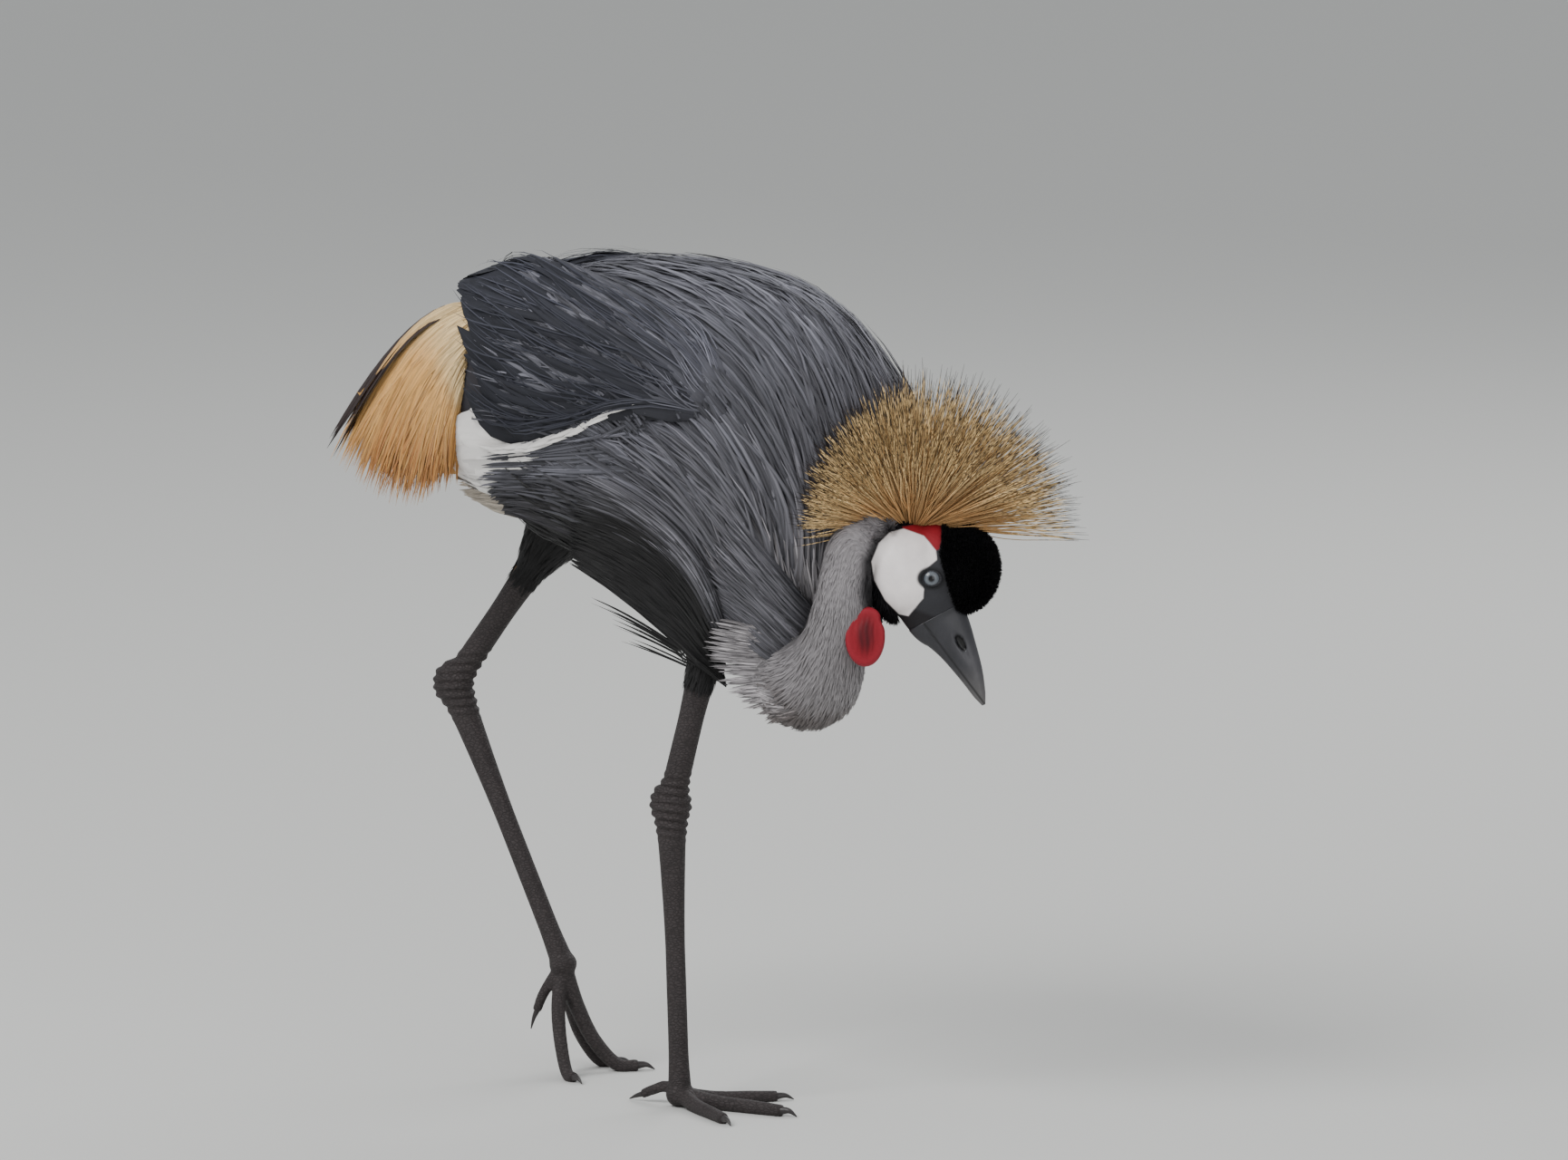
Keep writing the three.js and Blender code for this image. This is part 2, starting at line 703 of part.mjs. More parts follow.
function toeLoft(places, girth) {
  const last = places.length - 1;
  return new Loft(places.map((at, k) => {
    const reach = girth * (1.05 - (1.05 - TOE_END_GIRTH) * k / last);
    return { at, up: reach, down: reach, side: reach };
  }));
}

function aboveFloor(solid) {
  return solid.trimByPlane([0, 0, 1], 0);
}

function addLeg(side) {
  const hock = side === 'right' ? RIGHT_HOCK : LEFT_HOCK;
  const toes = side === 'right' ? RIGHT_TOES : LEFT_TOES;
  const top = side === 'right' ? RIGHT_SHANK_TOP : LEFT_SHANK_TOP;
  const shank = shankLoft(top, hock);
  const tarsus = tarsusLoft(hock, toes);
  const bone = { steps: LEG_STEPS, sides: LEG_SIDES, endGap: HALF_SEAM };
  addNode(`shank_${side}`, shank.solid({ ...bone, to: 1 - HOCK_SHARE }), LEG);
  addNode(`tarsus_${side}`, tarsus.solid({ ...bone, from: HOCK_SHARE, to: 0.95 }), LEG);
  const knuckle = join([
    shank.solid({ ...bone, from: 1 - HOCK_SHARE, steps: 2 }),
    tarsus.solid({ ...bone, to: HOCK_SHARE, steps: 2 }),
    ball(hock, HOCK_REACH, 8),
  ]);
  const clear = (loft, range) => loft.solid({ ...bone, ...range, lift: SEAM, endGap: -HALF_SEAM });
  const thigh = thighSolid(side, 0)
    .subtract(torsoCore(2 * SEAM))
    .subtract(neckRoom())
    .subtract(clear(shank, { to: 1 - HOCK_SHARE }));
  addNode(`thigh_${side}`, thigh, BLACK);
  addNode(`hock_${side}`, knuckle
    .subtract(clear(shank, { to: 1 - HOCK_SHARE }))
    .subtract(clear(tarsus, { from: HOCK_SHARE, to: 0.95 })), LEG);
  addFoot(side, toes, tarsus, clear);
}

function addFoot(side, toes, tarsus, clear) {
  const padAt = toes.clone();
  const pad = ball(padAt, PAD);
  const foot = pad.subtract(clear(tarsus, { to: 0.95 }));
  addNode(`foot_${side}`, aboveFloor(foot), LEG);
  const padRoom = ball(padAt, PAD.map((r) => r + SEAM));
  const tarsusRoom = clear(tarsus, { to: 0.95 });
  const taken = [];
  for (const [name, places] of Object.entries(trails[side])) {
    const loft = toeLoft(places, TOE_GIRTH[name]);
    let toe = loft.solid({ steps: TOE_STEPS, sides: TOE_SIDES, endGap: HALF_SEAM });
    toe = toe.subtract(padRoom).subtract(tarsusRoom);
    for (const other of taken) {
      toe = toe.subtract(other);
    }
    taken.push(loft.solid({
      steps: TOE_STEPS, sides: TOE_SIDES, lift: SEAM, endGap: -HALF_SEAM,
    }));
    addNode(`toe_${name}_${side}`, aboveFloor(toe), LEG);
    addNode(`claw_${name}_${side}`, clawSolid(loft), BLACK, 0.5);
  }
}

// A claw curves down from the end of its toe to a point just above the floor
const CLAW_LENGTH = 12;
const CLAW_TIP_HEIGHT = 1;
function clawSolid(loft) {
  const { place, along, rise } = loft.at(1);
  const root = place.clone().addScaledVector(along, HALF_SEAM);
  const arch = place.clone().addScaledVector(along, CLAW_LENGTH * 0.5);
  const tip = place.clone().addScaledVector(along, CLAW_LENGTH);
  tip.z = Math.max(tip.z - rise * 0.6, CLAW_TIP_HEIGHT);
  const claw = new Loft([
    { at: root, up: rise * 0.7, down: rise * 0.6, side: rise * 0.62 },
    { at: arch, up: rise * 0.42, down: rise * 0.42, side: rise * 0.42 },
    { at: tip, up: 0.4, down: 0.4, side: 0.4 },
  ]);
  return aboveFloor(claw.solid({ steps: 3, sides: 6 }));
}

// Head. All its parts are shaped in the head's own axes, then carried to their place.
const headMatrix = new THREE.Matrix4()
  .makeBasis(headForward, headRight, headUp)
  .setPosition(EYE_PLACE);
const toBody = (solid) => solid.transform(headMatrix.elements);
const ownBall = (forward, up, right, reach, tilt = 0, sides = 16) => ellipsoid(reach, sides)
  .rotate([0, tilt, 0])
  .translate([forward, right, up]);

const bill = new Loft([
  { at: v(-4, 0, -6), up: 24, down: 25, side: 17 },
  { at: v(0, 0, -18), up: 23, down: 24, side: 14.5 },
  { at: v(5, 0, -28.5), up: 21, down: 21, side: 10.5 },
  { at: v(12, 0, -38), up: 17, down: 17, side: 9 },
  { at: v(18.7, 0, -49), up: 13.2, down: 13.2, side: 7.4 },
  { at: v(27.7, 0, -66.4), up: 8.6, down: 8.6, side: 5.2 },
  { at: v(34.2, 0, -82), up: 4, down: 4, side: 3 },
  { at: v(37, 0, -89), up: 0.9, down: 0.9, side: 1 },
]);
const BILL_START = 2 / 7;
const MOUTH_TURN = 52.9;       // slope of the mouth line below level, in degrees
const MOUTH_AT = v(-8, 0, -28);

function billHalf(upper) {
  const whole = bill.solid({ from: BILL_START, steps: 9, sides: 16, endGap: HALF_SEAM });
  const a = radians(MOUTH_TURN);
  const normal = v(Math.sin(a), 0, Math.cos(a)).multiplyScalar(upper ? 1 : -1);
  const offset = normal.dot(MOUTH_AT) + HALF_SEAM;
  return whole.trimByPlane(normal.toArray(), offset);
}

const NOSTRIL = [4.6, 2.2, 1.5];
function upperBill() {
  const slit = ownBall(20.6, -43.9, 8.6, NOSTRIL, 60, 10);
  return billHalf(true).subtract(slit).subtract(mirrored(slit));
}

const EYEBALL = 8;
const EYE_DEPTH = 12;          // from the middle plane of the head to the middle of the eyeball
const eyeball = (extra) => ownBall(0, 0, EYE_DEPTH, Array(3).fill(EYEBALL + extra), 0, 14);

// The head without its eyes and bill, grown on every side by gap
const grown = (reach, gap) => reach.map((r) => r + gap);
const SKULL_REACH = [27.7, 21.5, 33.5];
const BROW_REACH = [24, 18, 31];
const VELVET_REACH = [29.3, 18.5, 32.6];
function headShape(gap) {
  const endGap = gap > 0 ? -gap : HALF_SEAM;
  const skull = ownBall(-16, 5.8, 0, grown(SKULL_REACH, gap));
  const brow = ownBall(2, 8, 0, grown(BROW_REACH, gap));
  const velvet = ownBall(19.5, 6.5, 0, grown(VELVET_REACH, gap), 8);
  const lore = bill.solid({ to: BILL_START, steps: 3, sides: 18, lift: gap, endGap });
  const nape = trunk.solid({ from: NECK_END, steps: 4, sides: 18, lift: gap, endGap });
  return join([toBody(join([skull, brow, velvet, lore])), nape]);
}

// A ring round the side axis of the head, oval by its reach forward and up
function ring(reach, thick, around, across) {
  const geometry = new THREE.TorusGeometry(1, thick / Math.max(...reach), across, around);
  geometry.rotateX(Math.PI / 2);
  geometry.scale(reach[0], Math.max(...reach), reach[1]);
  return solidFromGeometry(geometry);
}

const LID_REACH = [7.6, 6.4];
const LID_OUT = 17.2;          // from the middle plane of the head to the lids
const lid = () => ring(LID_REACH, 1.5, 14, 5).translate([0, LID_OUT, 0]);

// The line of the mouth runs on behind the bill as a shallow groove
const GROOVE_DEPTH = 1.6;
function mouthGroove() {
  const geometry = new THREE.BoxGeometry(15, 60, 0.8);
  geometry.rotateY(radians(MOUTH_TURN));
  geometry.translate(-12.4, 0, -21.8);
  return toBody(solidFromGeometry(geometry)).subtract(headShape(-GROOVE_DEPTH));
}

function headSolid() {
  const billRoom = bill.solid({
    from: BILL_START, steps: 9, sides: 16, lift: SEAM, endGap: -HALF_SEAM,
  });
  return join([headShape(0), toBody(lid()), toBody(mirrored(lid()))])
    .subtract(mouthGroove())
    .subtract(toBody(eyeball(SEAM)))
    .subtract(toBody(mirrored(eyeball(SEAM))))
    .subtract(toBody(billRoom));
}

// The red wattle hangs at the throat in two soft lobes, each with a raised rim and two folds
const LOBE = [14, 10, 21];
const LOBE_OUT = 12;
function wattleSolid() {
  const lobe = ownBall(-46.4, -41, LOBE_OUT, LOBE, 0, 12);
  const rim = ring([12.4, 19.2], 2.6, 10, 4).translate([-46.4, LOBE_OUT + 3.4, -41]);
  const fold = (forward) => ownBall(forward, -42, LOBE_OUT + 8, [1.5, 2.6, 14], 0, 6);
  const half = join([lobe, rim, fold(-50), fold(-44.5)]);
  return toBody(join([half, mirrored(half)])).subtract(neckRoom(2 * SEAM)).subtract(headShape(SEAM));
}

// The crest fans from a low pad on the crown, bristle by bristle
const CREST_AT = [-13, 37];
const CREST_PAD = [27, 12, 9];
const BRISTLES = 120;
const BRISTLE_REACH = 102;
const SHORTER_BEHIND = 42;     // how much the bristles that point straight back fall short
const SHORTER_AHEAD = 3;
const BRISTLE_HALF = 1.25;
const CREST_FLATNESS = 0.62;   // how far the fan opens sideways, as a share of fore and aft
const GOLDEN_ANGLE = 137.508;
const LOWEST_BRISTLE = 97;     // degrees from straight up
const BENDS = [0, 8, 16, 24, 32];

// Whether a point is inside the plumage of the torso, grown by margin
function insideTorso(point, margin) {
  for (let k = 8; k <= 40; k += 1) {
    const t = TORSO_END * k / 40;
    const { place, along, side, up, rise, drop, width } = trunk.at(t);
    const off = point.clone().sub(place);
    if (Math.abs(off.dot(along)) > 8) {
      continue;
    }
    const high = off.dot(up);
    const reach = coatAt(t) + PLUME_STAND + margin;
    const share = Math.hypot(
      high / ((high > 0 ? rise : drop) + reach), off.dot(side) / (width + reach));
    if (share < 1) {
      return true;
    }
  }
  return false;
}

// How much of a bristle is clear of the torso, as a share of its length
function clearShare(root, way, length) {
  for (let share = 0.3; share < 1; share += 0.05) {
    if (insideTorso(root.clone().addScaledVector(way, length * share), 2)) {
      return share - 0.1;
    }
  }
  return 1;
}

// A bristle is a long three-sided spike
function bristle(root, way, length) {
  const side = way.clone().cross(headForward).normalize();
  const out = side.clone().cross(way);
  const corners = [90, 210, 330].map((turn) => root.clone()
    .addScaledVector(side, BRISTLE_HALF * Math.cos(radians(turn)))
    .addScaledVector(out, BRISTLE_HALF * Math.sin(radians(turn))));
  const tip = root.clone().addScaledVector(way, length);
  return solidFrom([...corners, tip], [[0, 1, 2], [0, 3, 1], [1, 3, 2], [2, 3, 0]]);
}

function crestSolid() {
  const random = makeRandom(53);
  const pieces = [toBody(ownBall(CREST_AT[0], CREST_AT[1], 0, CREST_PAD, 0, 20))];
  for (let j = 0; j < BRISTLES; j += 1) {
    const polar = Math.acos(1 - (1 - Math.cos(radians(LOWEST_BRISTLE))) * (j + 0.5) / BRISTLES);
    const around = radians(GOLDEN_ANGLE * j);
    const fore = Math.sin(polar) * Math.cos(around);
    const aside = Math.sin(polar) * Math.sin(around) * CREST_FLATNESS;
    const root = headPoint(CREST_AT[0] + 17 * fore, CREST_AT[1] + 3 * Math.cos(polar), 9 * aside);
    const aim = headForward.clone().multiplyScalar(fore)
      .addScaledVector(headUp, Math.cos(polar))
      .addScaledVector(headRight, aside);
    const reach = BRISTLE_REACH - (fore < 0 ? -SHORTER_BEHIND : SHORTER_AHEAD) * fore;
    const length = reach * aim.length() ** 0.6 * (0.92 + 0.14 * random());
    aim.normalize();
    let best = { share: 0 };
    for (const bend of BENDS) {
      const way = aim.clone().addScaledVector(headRight, Math.tan(radians(bend))).normalize();
      const share = clearShare(root, way, length);
      if (share > best.share + 0.2) {
        best = { share, way };
      }
    }
    if (best.share > 0.35) {
      pieces.push(bristle(root, best.way, length * best.share));
    }
  }
  return join(pieces)
    .subtract(headShape(SEAM))
    .subtract(coatRoom())
    .subtract(neckRoom(HACKLE_STAND + SEAM));
}

const HACKLES_BASE = [
  { span: 8.2, count: 8, length: 32, width: 14 },
];
const HACKLES_BEND = [
  { span: 10.2, count: 7, length: 34, width: 11 },
  { span: 9.4, count: 8, length: 30, width: 12 },
];
// The two wide parts of the neck curve so sharply that each is also cut clear of the other
const baseRoom = trunk.solid({
  from: TORSO_END, to: NECK_BASE_END, steps: 4, sides: 18, lift: SEAM, endGap: -HALF_SEAM,
});
const bendRoom = trunk.solid({
  from: NECK_BASE_END, to: NECK_BEND_END, steps: 6, sides: 18, lift: 2 * SEAM, endGap: -HALF_SEAM,
});
addNode('torso', torsoWithPlumes(), GREY);
addNode('neck_base', neckPart(TORSO_END, NECK_BASE_END, 4, HACKLES_BASE)
  .subtract(bendRoom), PALE_GREY);
addNode('neck_bend', neckPart(NECK_BASE_END, NECK_BEND_END, 6, HACKLES_BEND)
  .add(hackleFan())
  .subtract(baseRoom), PALE_GREY);
addNode('neck_upper', neckPart(NECK_BEND_END, NECK_END, 5), PALE_GREY);
addNode('head', headSolid(), WHITE);
addNode('bill_upper', toBody(upperBill()), BILL, 0.5);
addNode('bill_lower', toBody(billHalf(false)), BILL, 0.5);
addNode('eye_right', toBody(eyeball(0)), IRIS, 0.1);
addNode('eye_left', toBody(mirrored(eyeball(0))), IRIS, 0.1);
addNode('wattle', wattleSolid(), RED);
addNode('crest', crestSolid(), GOLD);
addNode('wing_right', wing('right'), SLATE);
addNode('wing_left', wing('left'), SLATE);
addNode('tail', tailSolid(), BLACK);
addLeg('right');
addLeg('left');

bird.position.set(-FOOTPRINT_X, -FOOTPRINT_Y, 0);

export default bird;
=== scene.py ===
"""A grey crowned crane as a life-size museum model, in mid stride with its head held low."""
import math

import bmesh
import bpy
import numpy as np
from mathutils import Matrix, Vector


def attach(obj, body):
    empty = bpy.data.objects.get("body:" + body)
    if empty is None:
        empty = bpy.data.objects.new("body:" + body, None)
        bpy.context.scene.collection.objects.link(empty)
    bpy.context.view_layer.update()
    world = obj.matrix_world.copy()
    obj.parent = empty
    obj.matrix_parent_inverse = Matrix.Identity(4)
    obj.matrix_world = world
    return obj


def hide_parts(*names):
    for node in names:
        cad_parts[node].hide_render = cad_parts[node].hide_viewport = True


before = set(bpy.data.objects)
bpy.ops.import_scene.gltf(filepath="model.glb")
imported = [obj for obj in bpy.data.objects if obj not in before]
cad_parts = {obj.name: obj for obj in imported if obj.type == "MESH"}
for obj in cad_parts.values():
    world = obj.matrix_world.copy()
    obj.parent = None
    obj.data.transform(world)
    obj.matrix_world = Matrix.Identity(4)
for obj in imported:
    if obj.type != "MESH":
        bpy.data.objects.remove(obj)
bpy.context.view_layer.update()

# Shared sizes, in millimetres in the body's own axes: +X the way it faces, +Y its left, +Z up
MM = 0.001
TO_FRAME = np.array([-29.0, 9.0, 0.0])
LEFT = np.array([0.0, 1.0, 0.0])
OUT_RIGHT = np.array([0.0, -1.0, 0.0])
SIDES = {"right": 1, "left": -1}
random = np.random.default_rng(7)
V = np.array


def linear(red, green, blue):
    """A colour given as 0 to 255 display values, as the linear values that shaders use."""
    display = V([red, green, blue]) / 255
    return np.where(display <= 0.04045, display / 12.92, ((display + 0.055) / 1.055) ** 2.4)


def unit(vectors):
    return vectors / np.maximum(np.linalg.norm(vectors, axis=-1, keepdims=True), 1e-9)


def smooth(low, high, x):
    """0 below low, 1 above high, and a smooth step between them."""
    share = np.clip((x - low) / (high - low), 0, 1)
    return share * share * (3 - 2 * share)


def mix(a, b, share):
    share = np.asarray(share)[..., None]
    return a * (1 - share) + b * share


# Lofts, with the same stations as the solids
def spline(points, t):
    """A centripetal Catmull-Rom line through the points, t from 0 to 1."""
    points = np.array(points, float)
    last = len(points) - 1
    place = np.clip(t, 0, 1) * last
    first = np.minimum(place.astype(int), last - 1)
    w = (place - first)[:, None]
    padded = np.vstack([2 * points[0] - points[1], points, 2 * points[-1] - points[-2]])
    a, b, c, d = (padded[first + k] for k in range(4))
    before, middle, after = (
        np.linalg.norm(q - p, axis=1, keepdims=True) ** 0.5 for p, q in ((a, b), (b, c), (c, d)))
    middle = np.where(middle < 1e-2, 1, middle)
    before = np.where(before < 1e-2, middle, before)
    after = np.where(after < 1e-2, middle, after)
    leave = ((b - a) / before - (c - a) / (before + middle) + (c - b) / middle) * middle
    reach = ((c - b) / middle - (d - b) / (middle + after) + (d - c) / after) * middle
    cubic = 2 * b - 2 * c + leave + reach
    square = -3 * b + 3 * c - 2 * leave - reach
    return ((cubic * w + square) * w + leave) * w + b


class Loft:
    """A body along a smooth line; each station is x, y, z and its reach up, down and sideways."""
    SAMPLES = 1200

    def __init__(self, stations, flanks=None, hand=1):
        stations = np.array(stations, float)
        t = np.linspace(0, 1, self.SAMPLES + 1)
        flanks = np.tile(LEFT, (len(stations), 1)) if flanks is None else np.array(flanks)
        self.place = spline(stations[:, :3], t)
        self.reach = spline(stations[:, 3:], t)
        self.along = unit(np.gradient(self.place, axis=0))
        side = spline(flanks, t)
        self.side = unit(side - self.along * (side * self.along).sum(1, keepdims=True))
        self.up = -hand * np.cross(self.side, self.along)
        steps = np.linalg.norm(np.diff(self.place, axis=0), axis=1)
        self.arc = np.concatenate([[0], np.cumsum(steps)])
        self.length = self.arc[-1]

    def at(self, t):
        exact = np.clip(t, 0, 1) * self.SAMPLES
        first = np.minimum(exact.astype(int), self.SAMPLES - 1)
        w = (exact - first)[:, None]
        fields = (self.place, self.along, self.side, self.up, self.reach)
        return [field[first] * (1 - w) + field[first + 1] * w for field in fields]

    def before(self, t, length):
        """The t that lies a length before each t along the line."""
        all_t = np.linspace(0, 1, self.SAMPLES + 1)
        return np.interp(np.interp(t, all_t, self.arc) - length, self.arc, all_t)

    def surface(self, t, turn, lift=0.0):
        """Points and outward directions at t and turn, where turn 0 is up and 90 the side."""
        place, _, side, up, reach = self.at(t)
        c, s = np.cos(np.radians(turn)), np.sin(np.radians(turn))
        height = np.where(c > 0, reach[:, 0], reach[:, 1])
        out = unit(up * (c / height)[:, None] + side * (s / reach[:, 2])[:, None])
        point = place + up * (c * height)[:, None] + side * (s * reach[:, 2])[:, None]
        return point + out * np.asarray(lift).reshape(-1, 1), out


# The head's own axes, turned and leant from the body's
HEAD_TURN, HEAD_LEAN = math.radians(25), math.radians(8)
EYE_PLACE = V([221.4, -47.4, 394.3])
HEAD_FORWARD = V([math.cos(HEAD_TURN), math.sin(HEAD_TURN), 0])
HEAD_RIGHT = V([
    math.sin(HEAD_TURN) * math.cos(HEAD_LEAN),
    -math.cos(HEAD_TURN) * math.cos(HEAD_LEAN),
    math.sin(HEAD_LEAN)])
HEAD_UP = np.cross(HEAD_RIGHT, HEAD_FORWARD)
HEAD_AXES = np.stack([HEAD_FORWARD, HEAD_RIGHT, HEAD_UP])


def from_head(points):
    """Points given forward, right and up from between the eyes, in the body's axes."""
    return EYE_PLACE + np.asarray(points, float) @ HEAD_AXES


def to_head(points):
    return (points - EYE_PLACE) @ HEAD_AXES.T


def neck_station(forward, up, *reach):
    return [*from_head([forward, 0, up]), *reach]


NECK_FLANK = [0.74, 0.67, 0]
SPANS = 15                     # between the trunk's stations, from the rear to the head
trunk = Loft([
    [-168, 0, 486, 16, 16, 20], [-138, 0, 492, 50, 44, 50], [-85, 0, 492, 88, 84, 78],
    [-20, 0, 486, 112, 104, 90], [42, 0, 460, 132, 103, 88], [79, 0, 424, 122, 104, 80],
    [97, 0, 386, 82, 92, 68], [103, -2, 352, 46, 70, 50], [108, -14, 330, 34, 44, 41],
    [122, -38, 317, 27, 36, 36], [144, -60, 327, 26, 28, 27], [158, -71, 348, 22.5, 22.5, 20.5],
    neck_station(-62, -19, 21, 21, 18.5), neck_station(-58, 2, 22, 21, 18),
    neck_station(-50, 20, 23, 21, 20), neck_station(-28, 23, 20, 20, 18),
], [LEFT] * 8 + [NECK_FLANK] * 8)

wing_stations = [
    [72, -72, 508, 14, 14, 14], [46, -70, 518, 38, 38, 30], [-10, -66, 522, 58, 60, 39],
    [-75, -58, 516, 74, 78, 42], [-125, -48, 508, 66, 74, 40], [-160, -40, 500, 50, 58, 32],
    [-180, -36, 490, 26, 32, 20],
]
plume_stations = [
    [-126, -54, 506, 50, 66, 26], [-172, -56, 488, 54, 54, 22],
    [-208, -56, 464, 50, 36, 16], [-242, -52, 438, 26, 14, 8],
]


# The scapulars arch over the wing in a dome, higher above its flesh on the near side
DOME_RISE = {"right": [0, 2, 6, 14, 14, 14, 8], "left": [0, 0, 2, 5, 8, 10, 6]}


def side_loft(side, stations, rises=None):
    """A loft on one side of the bird from stations on its right, taller by the rises."""
    rises = rises or [0] * len(stations)
    own = [[x, y * SIDES[side], z, up + rise, down, aside]
           for (x, y, z, up, down, aside), rise in zip(stations, rises)]
    return Loft(own, [OUT_RIGHT * SIDES[side]] * len(own), SIDES[side])


wings = {side: side_loft(side, wing_stations) for side in SIDES}
rears = {side: side_loft(side, plume_stations) for side in SIDES}
domes = {side: side_loft(side, wing_stations, DOME_RISE[side]) for side in SIDES}

HOCK = {"right": V([16, -42, 219]), "left": V([-202, 48, 280])}
TOES = {"right": V([21, -38, 8.8]), "left": V([-113, 46, 80])}
SHANK_TOP = {"right": V([44, -48, 318]), "left": V([-140, 48, 366])}
thighs = {
    "right": Loft([
        [80, -40, 450, 44, 44, 26], [62, -43, 384, 30, 30, 20], [50, -47, 342, 16, 16, 13.5],
        [*SHANK_TOP["right"], 11, 11, 10.5],
    ]),
    "left": Loft([
        [-40, 42, 476, 50, 50, 34], [-88, 46, 428, 38, 38, 28], [-122, 48, 390, 20, 22, 18],
        [*SHANK_TOP["left"], 11, 11, 10.5],
    ]),
}


def between(a, b, share):
    return a + (b - a) * share


def shank_loft(side):
    top, hock = SHANK_TOP[side], HOCK[side]
    return Loft([
        [*top, 10.8, 10.8, 10.2], [*between(top, hock, 0.4), 9.2, 9.2, 8.6],
        [*between(top, hock, 0.8), 9.6, 9.6, 8.8], [*hock, 14, 14, 11],
    ])


def tarsus_loft(side):
    hock, toes = HOCK[side], TOES[side]
    return Loft([
        [*hock, 14, 14, 11], [*between(hock, toes, 0.14), 10, 10, 9],
        [*between(hock, toes, 0.5), 7.4, 7.4, 6.2], [*between(hock, toes, 0.86), 7.4, 7.4, 6.8],
        [*toes, 8.6, 8.6, 9],
    ])


FLOOR_DIP = 0.7
TOE_GIRTH = {"middle": 6, "inner": 5.4, "outer": 5.6, "hind": 4.4}
TOE_END_GIRTH = 0.78


def on_floor(x, y, girth):
    return V([x, y, girth - FLOOR_DIP])


# The middle lines of the toes, on from the foot
TRAILS = {
    "right": {
        "middle": [on_floor(48, -39, 5.8), on_floor(78, -41, 5.2), on_floor(104, -43, 4.7)],
        "inner": [on_floor(40, -19, 5.1), on_floor(60, -3, 4.6), on_floor(76, 9, 4.2)],
        "outer": [on_floor(42, -55, 5.3), on_floor(63, -73, 4.8), on_floor(79, -87, 4.4)],
        "hind": [V([9, -35.5, 13]), V([-2, -34, 9.5]), V([-11, -33, 5.6])],
    },
    "left": {
        "middle": [V([-104, 51, 48]), V([-93, 58, 22]), on_floor(-78, 67, 5), on_floor(-66, 74, 4.7)],
        "inner": [V([-112, 36, 50]), V([-106, 28, 24]), on_floor(-96, 19, 4.4), on_floor(-88, 13, 4.2)],
        "outer": [V([-112, 57, 48]), V([-107, 66, 23]), on_floor(-97, 78, 4.6), on_floor(-89, 85, 4.4)],
        "hind": [V([-121, 42, 67]), V([-127, 40, 56]), V([-131, 39, 45])],
    },
}


def toe_loft(side, name):
    places = [TOES[side], *TRAILS[side][name]]
    reaches = np.linspace(1.05, TOE_END_GIRTH, len(places)) * TOE_GIRTH[name]
    return Loft([[*place, reach, reach, reach] for place, reach in zip(places, reaches)])


bill = Loft([
    [-4, 0, -6, 24, 25, 17], [0, 0, -18, 23, 24, 14.5], [5, 0, -28.5, 21, 21, 10.5],
    [12, 0, -38, 17, 17, 9], [18.7, 0, -49, 13.2, 13.2, 7.4], [27.7, 0, -66.4, 8.6, 8.6, 5.2],
    [34.2, 0, -82, 4, 4, 3], [37, 0, -89, 0.9, 0.9, 1],
])
BILL_START = 2 / 7             # the place along the bill where its horn starts
# The plane of the mouth, which parts the upper from the lower bill
MOUTH_TURN = math.radians(52.9)
MOUTH_AT = V([-8, 0, -28])
MOUTH_NORMAL = V([math.sin(MOUTH_TURN), 0, math.cos(MOUTH_TURN)])


# Meshes
def add_mesh(name, points, faces):
    """An object from points in the body's axes and faces of point numbers."""
    mesh = bpy.data.meshes.new(name)
    mesh.from_pydata((points + TO_FRAME) * MM, [], faces)
    mesh.update()
    obj = bpy.data.objects.new(name, mesh)
    bpy.context.scene.collection.objects.link(obj)
    return obj


def grid_faces(rows, columns, closed, looped=False):
    """Faces of a grid of points; closed joins its columns round a tube, looped its rows round a ring."""
    r, c = np.meshgrid(np.arange(rows - (not looped)), np.arange(columns - (not closed)), indexing="ij")
    ahead, above = (c + 1) % columns, (r + 1) % rows
    quads = [r * columns + c, r * columns + ahead, above * columns + ahead, above * columns + c]
    return np.stack(quads, -1).reshape(-1, 4)


def capped_faces(rows, columns):
    """Faces of a tube's grid, with both ends closed."""
    ends = [tuple(range(columns))[::-1], tuple(range((rows - 1) * columns, rows * columns))]
    return [tuple(face) for face in grid_faces(rows, columns, True)] + ends


def tube(loft, lift, steps, sides, start=0.0, end=1.0):
    """Points and faces of a loft's surface, with both ends closed."""
    t = np.repeat(np.linspace(start, end, steps + 1), sides)
    turn = np.tile(np.arange(sides) * 360 / sides, steps + 1)
    points, _ = loft.surface(t, turn, lift)
    return points, capped_faces(steps + 1, sides)


def ball(centre, reach, sides=32, tilt=0.0):
    """Points and faces of an ellipsoid, tilted round its sideways axis."""
    polar, turn = np.meshgrid(
        np.linspace(0.02, math.pi - 0.02, sides // 2), np.arange(sides) * 2 * math.pi / sides,
        indexing="ij")
    local = np.stack([
        np.sin(polar) * np.cos(turn), np.sin(polar) * np.sin(turn), np.cos(polar)], -1)
    local = local.reshape(-1, 3) * V(reach)
    c, s = math.cos(math.radians(tilt)), math.sin(math.radians(tilt))
    return local @ V([[c, 0, -s], [0, 1, 0], [s, 0, c]]) + V(centre), capped_faces(sides // 2, sides)


def read_points(mesh):
    flat = np.empty(len(mesh.vertices) * 3)
    mesh.vertices.foreach_get("co", flat)
    return flat.reshape(-1, 3) / MM - TO_FRAME


def write_points(mesh, points):
    mesh.vertices.foreach_set("co", ((points + TO_FRAME) * MM).astype(np.float32).ravel())
    mesh.update()


def read_normals(mesh):
    flat = np.empty(len(mesh.vertices) * 3, np.float32)
    mesh.vertices.foreach_get("normal", flat)
    return flat.reshape(-1, 3).astype(float)


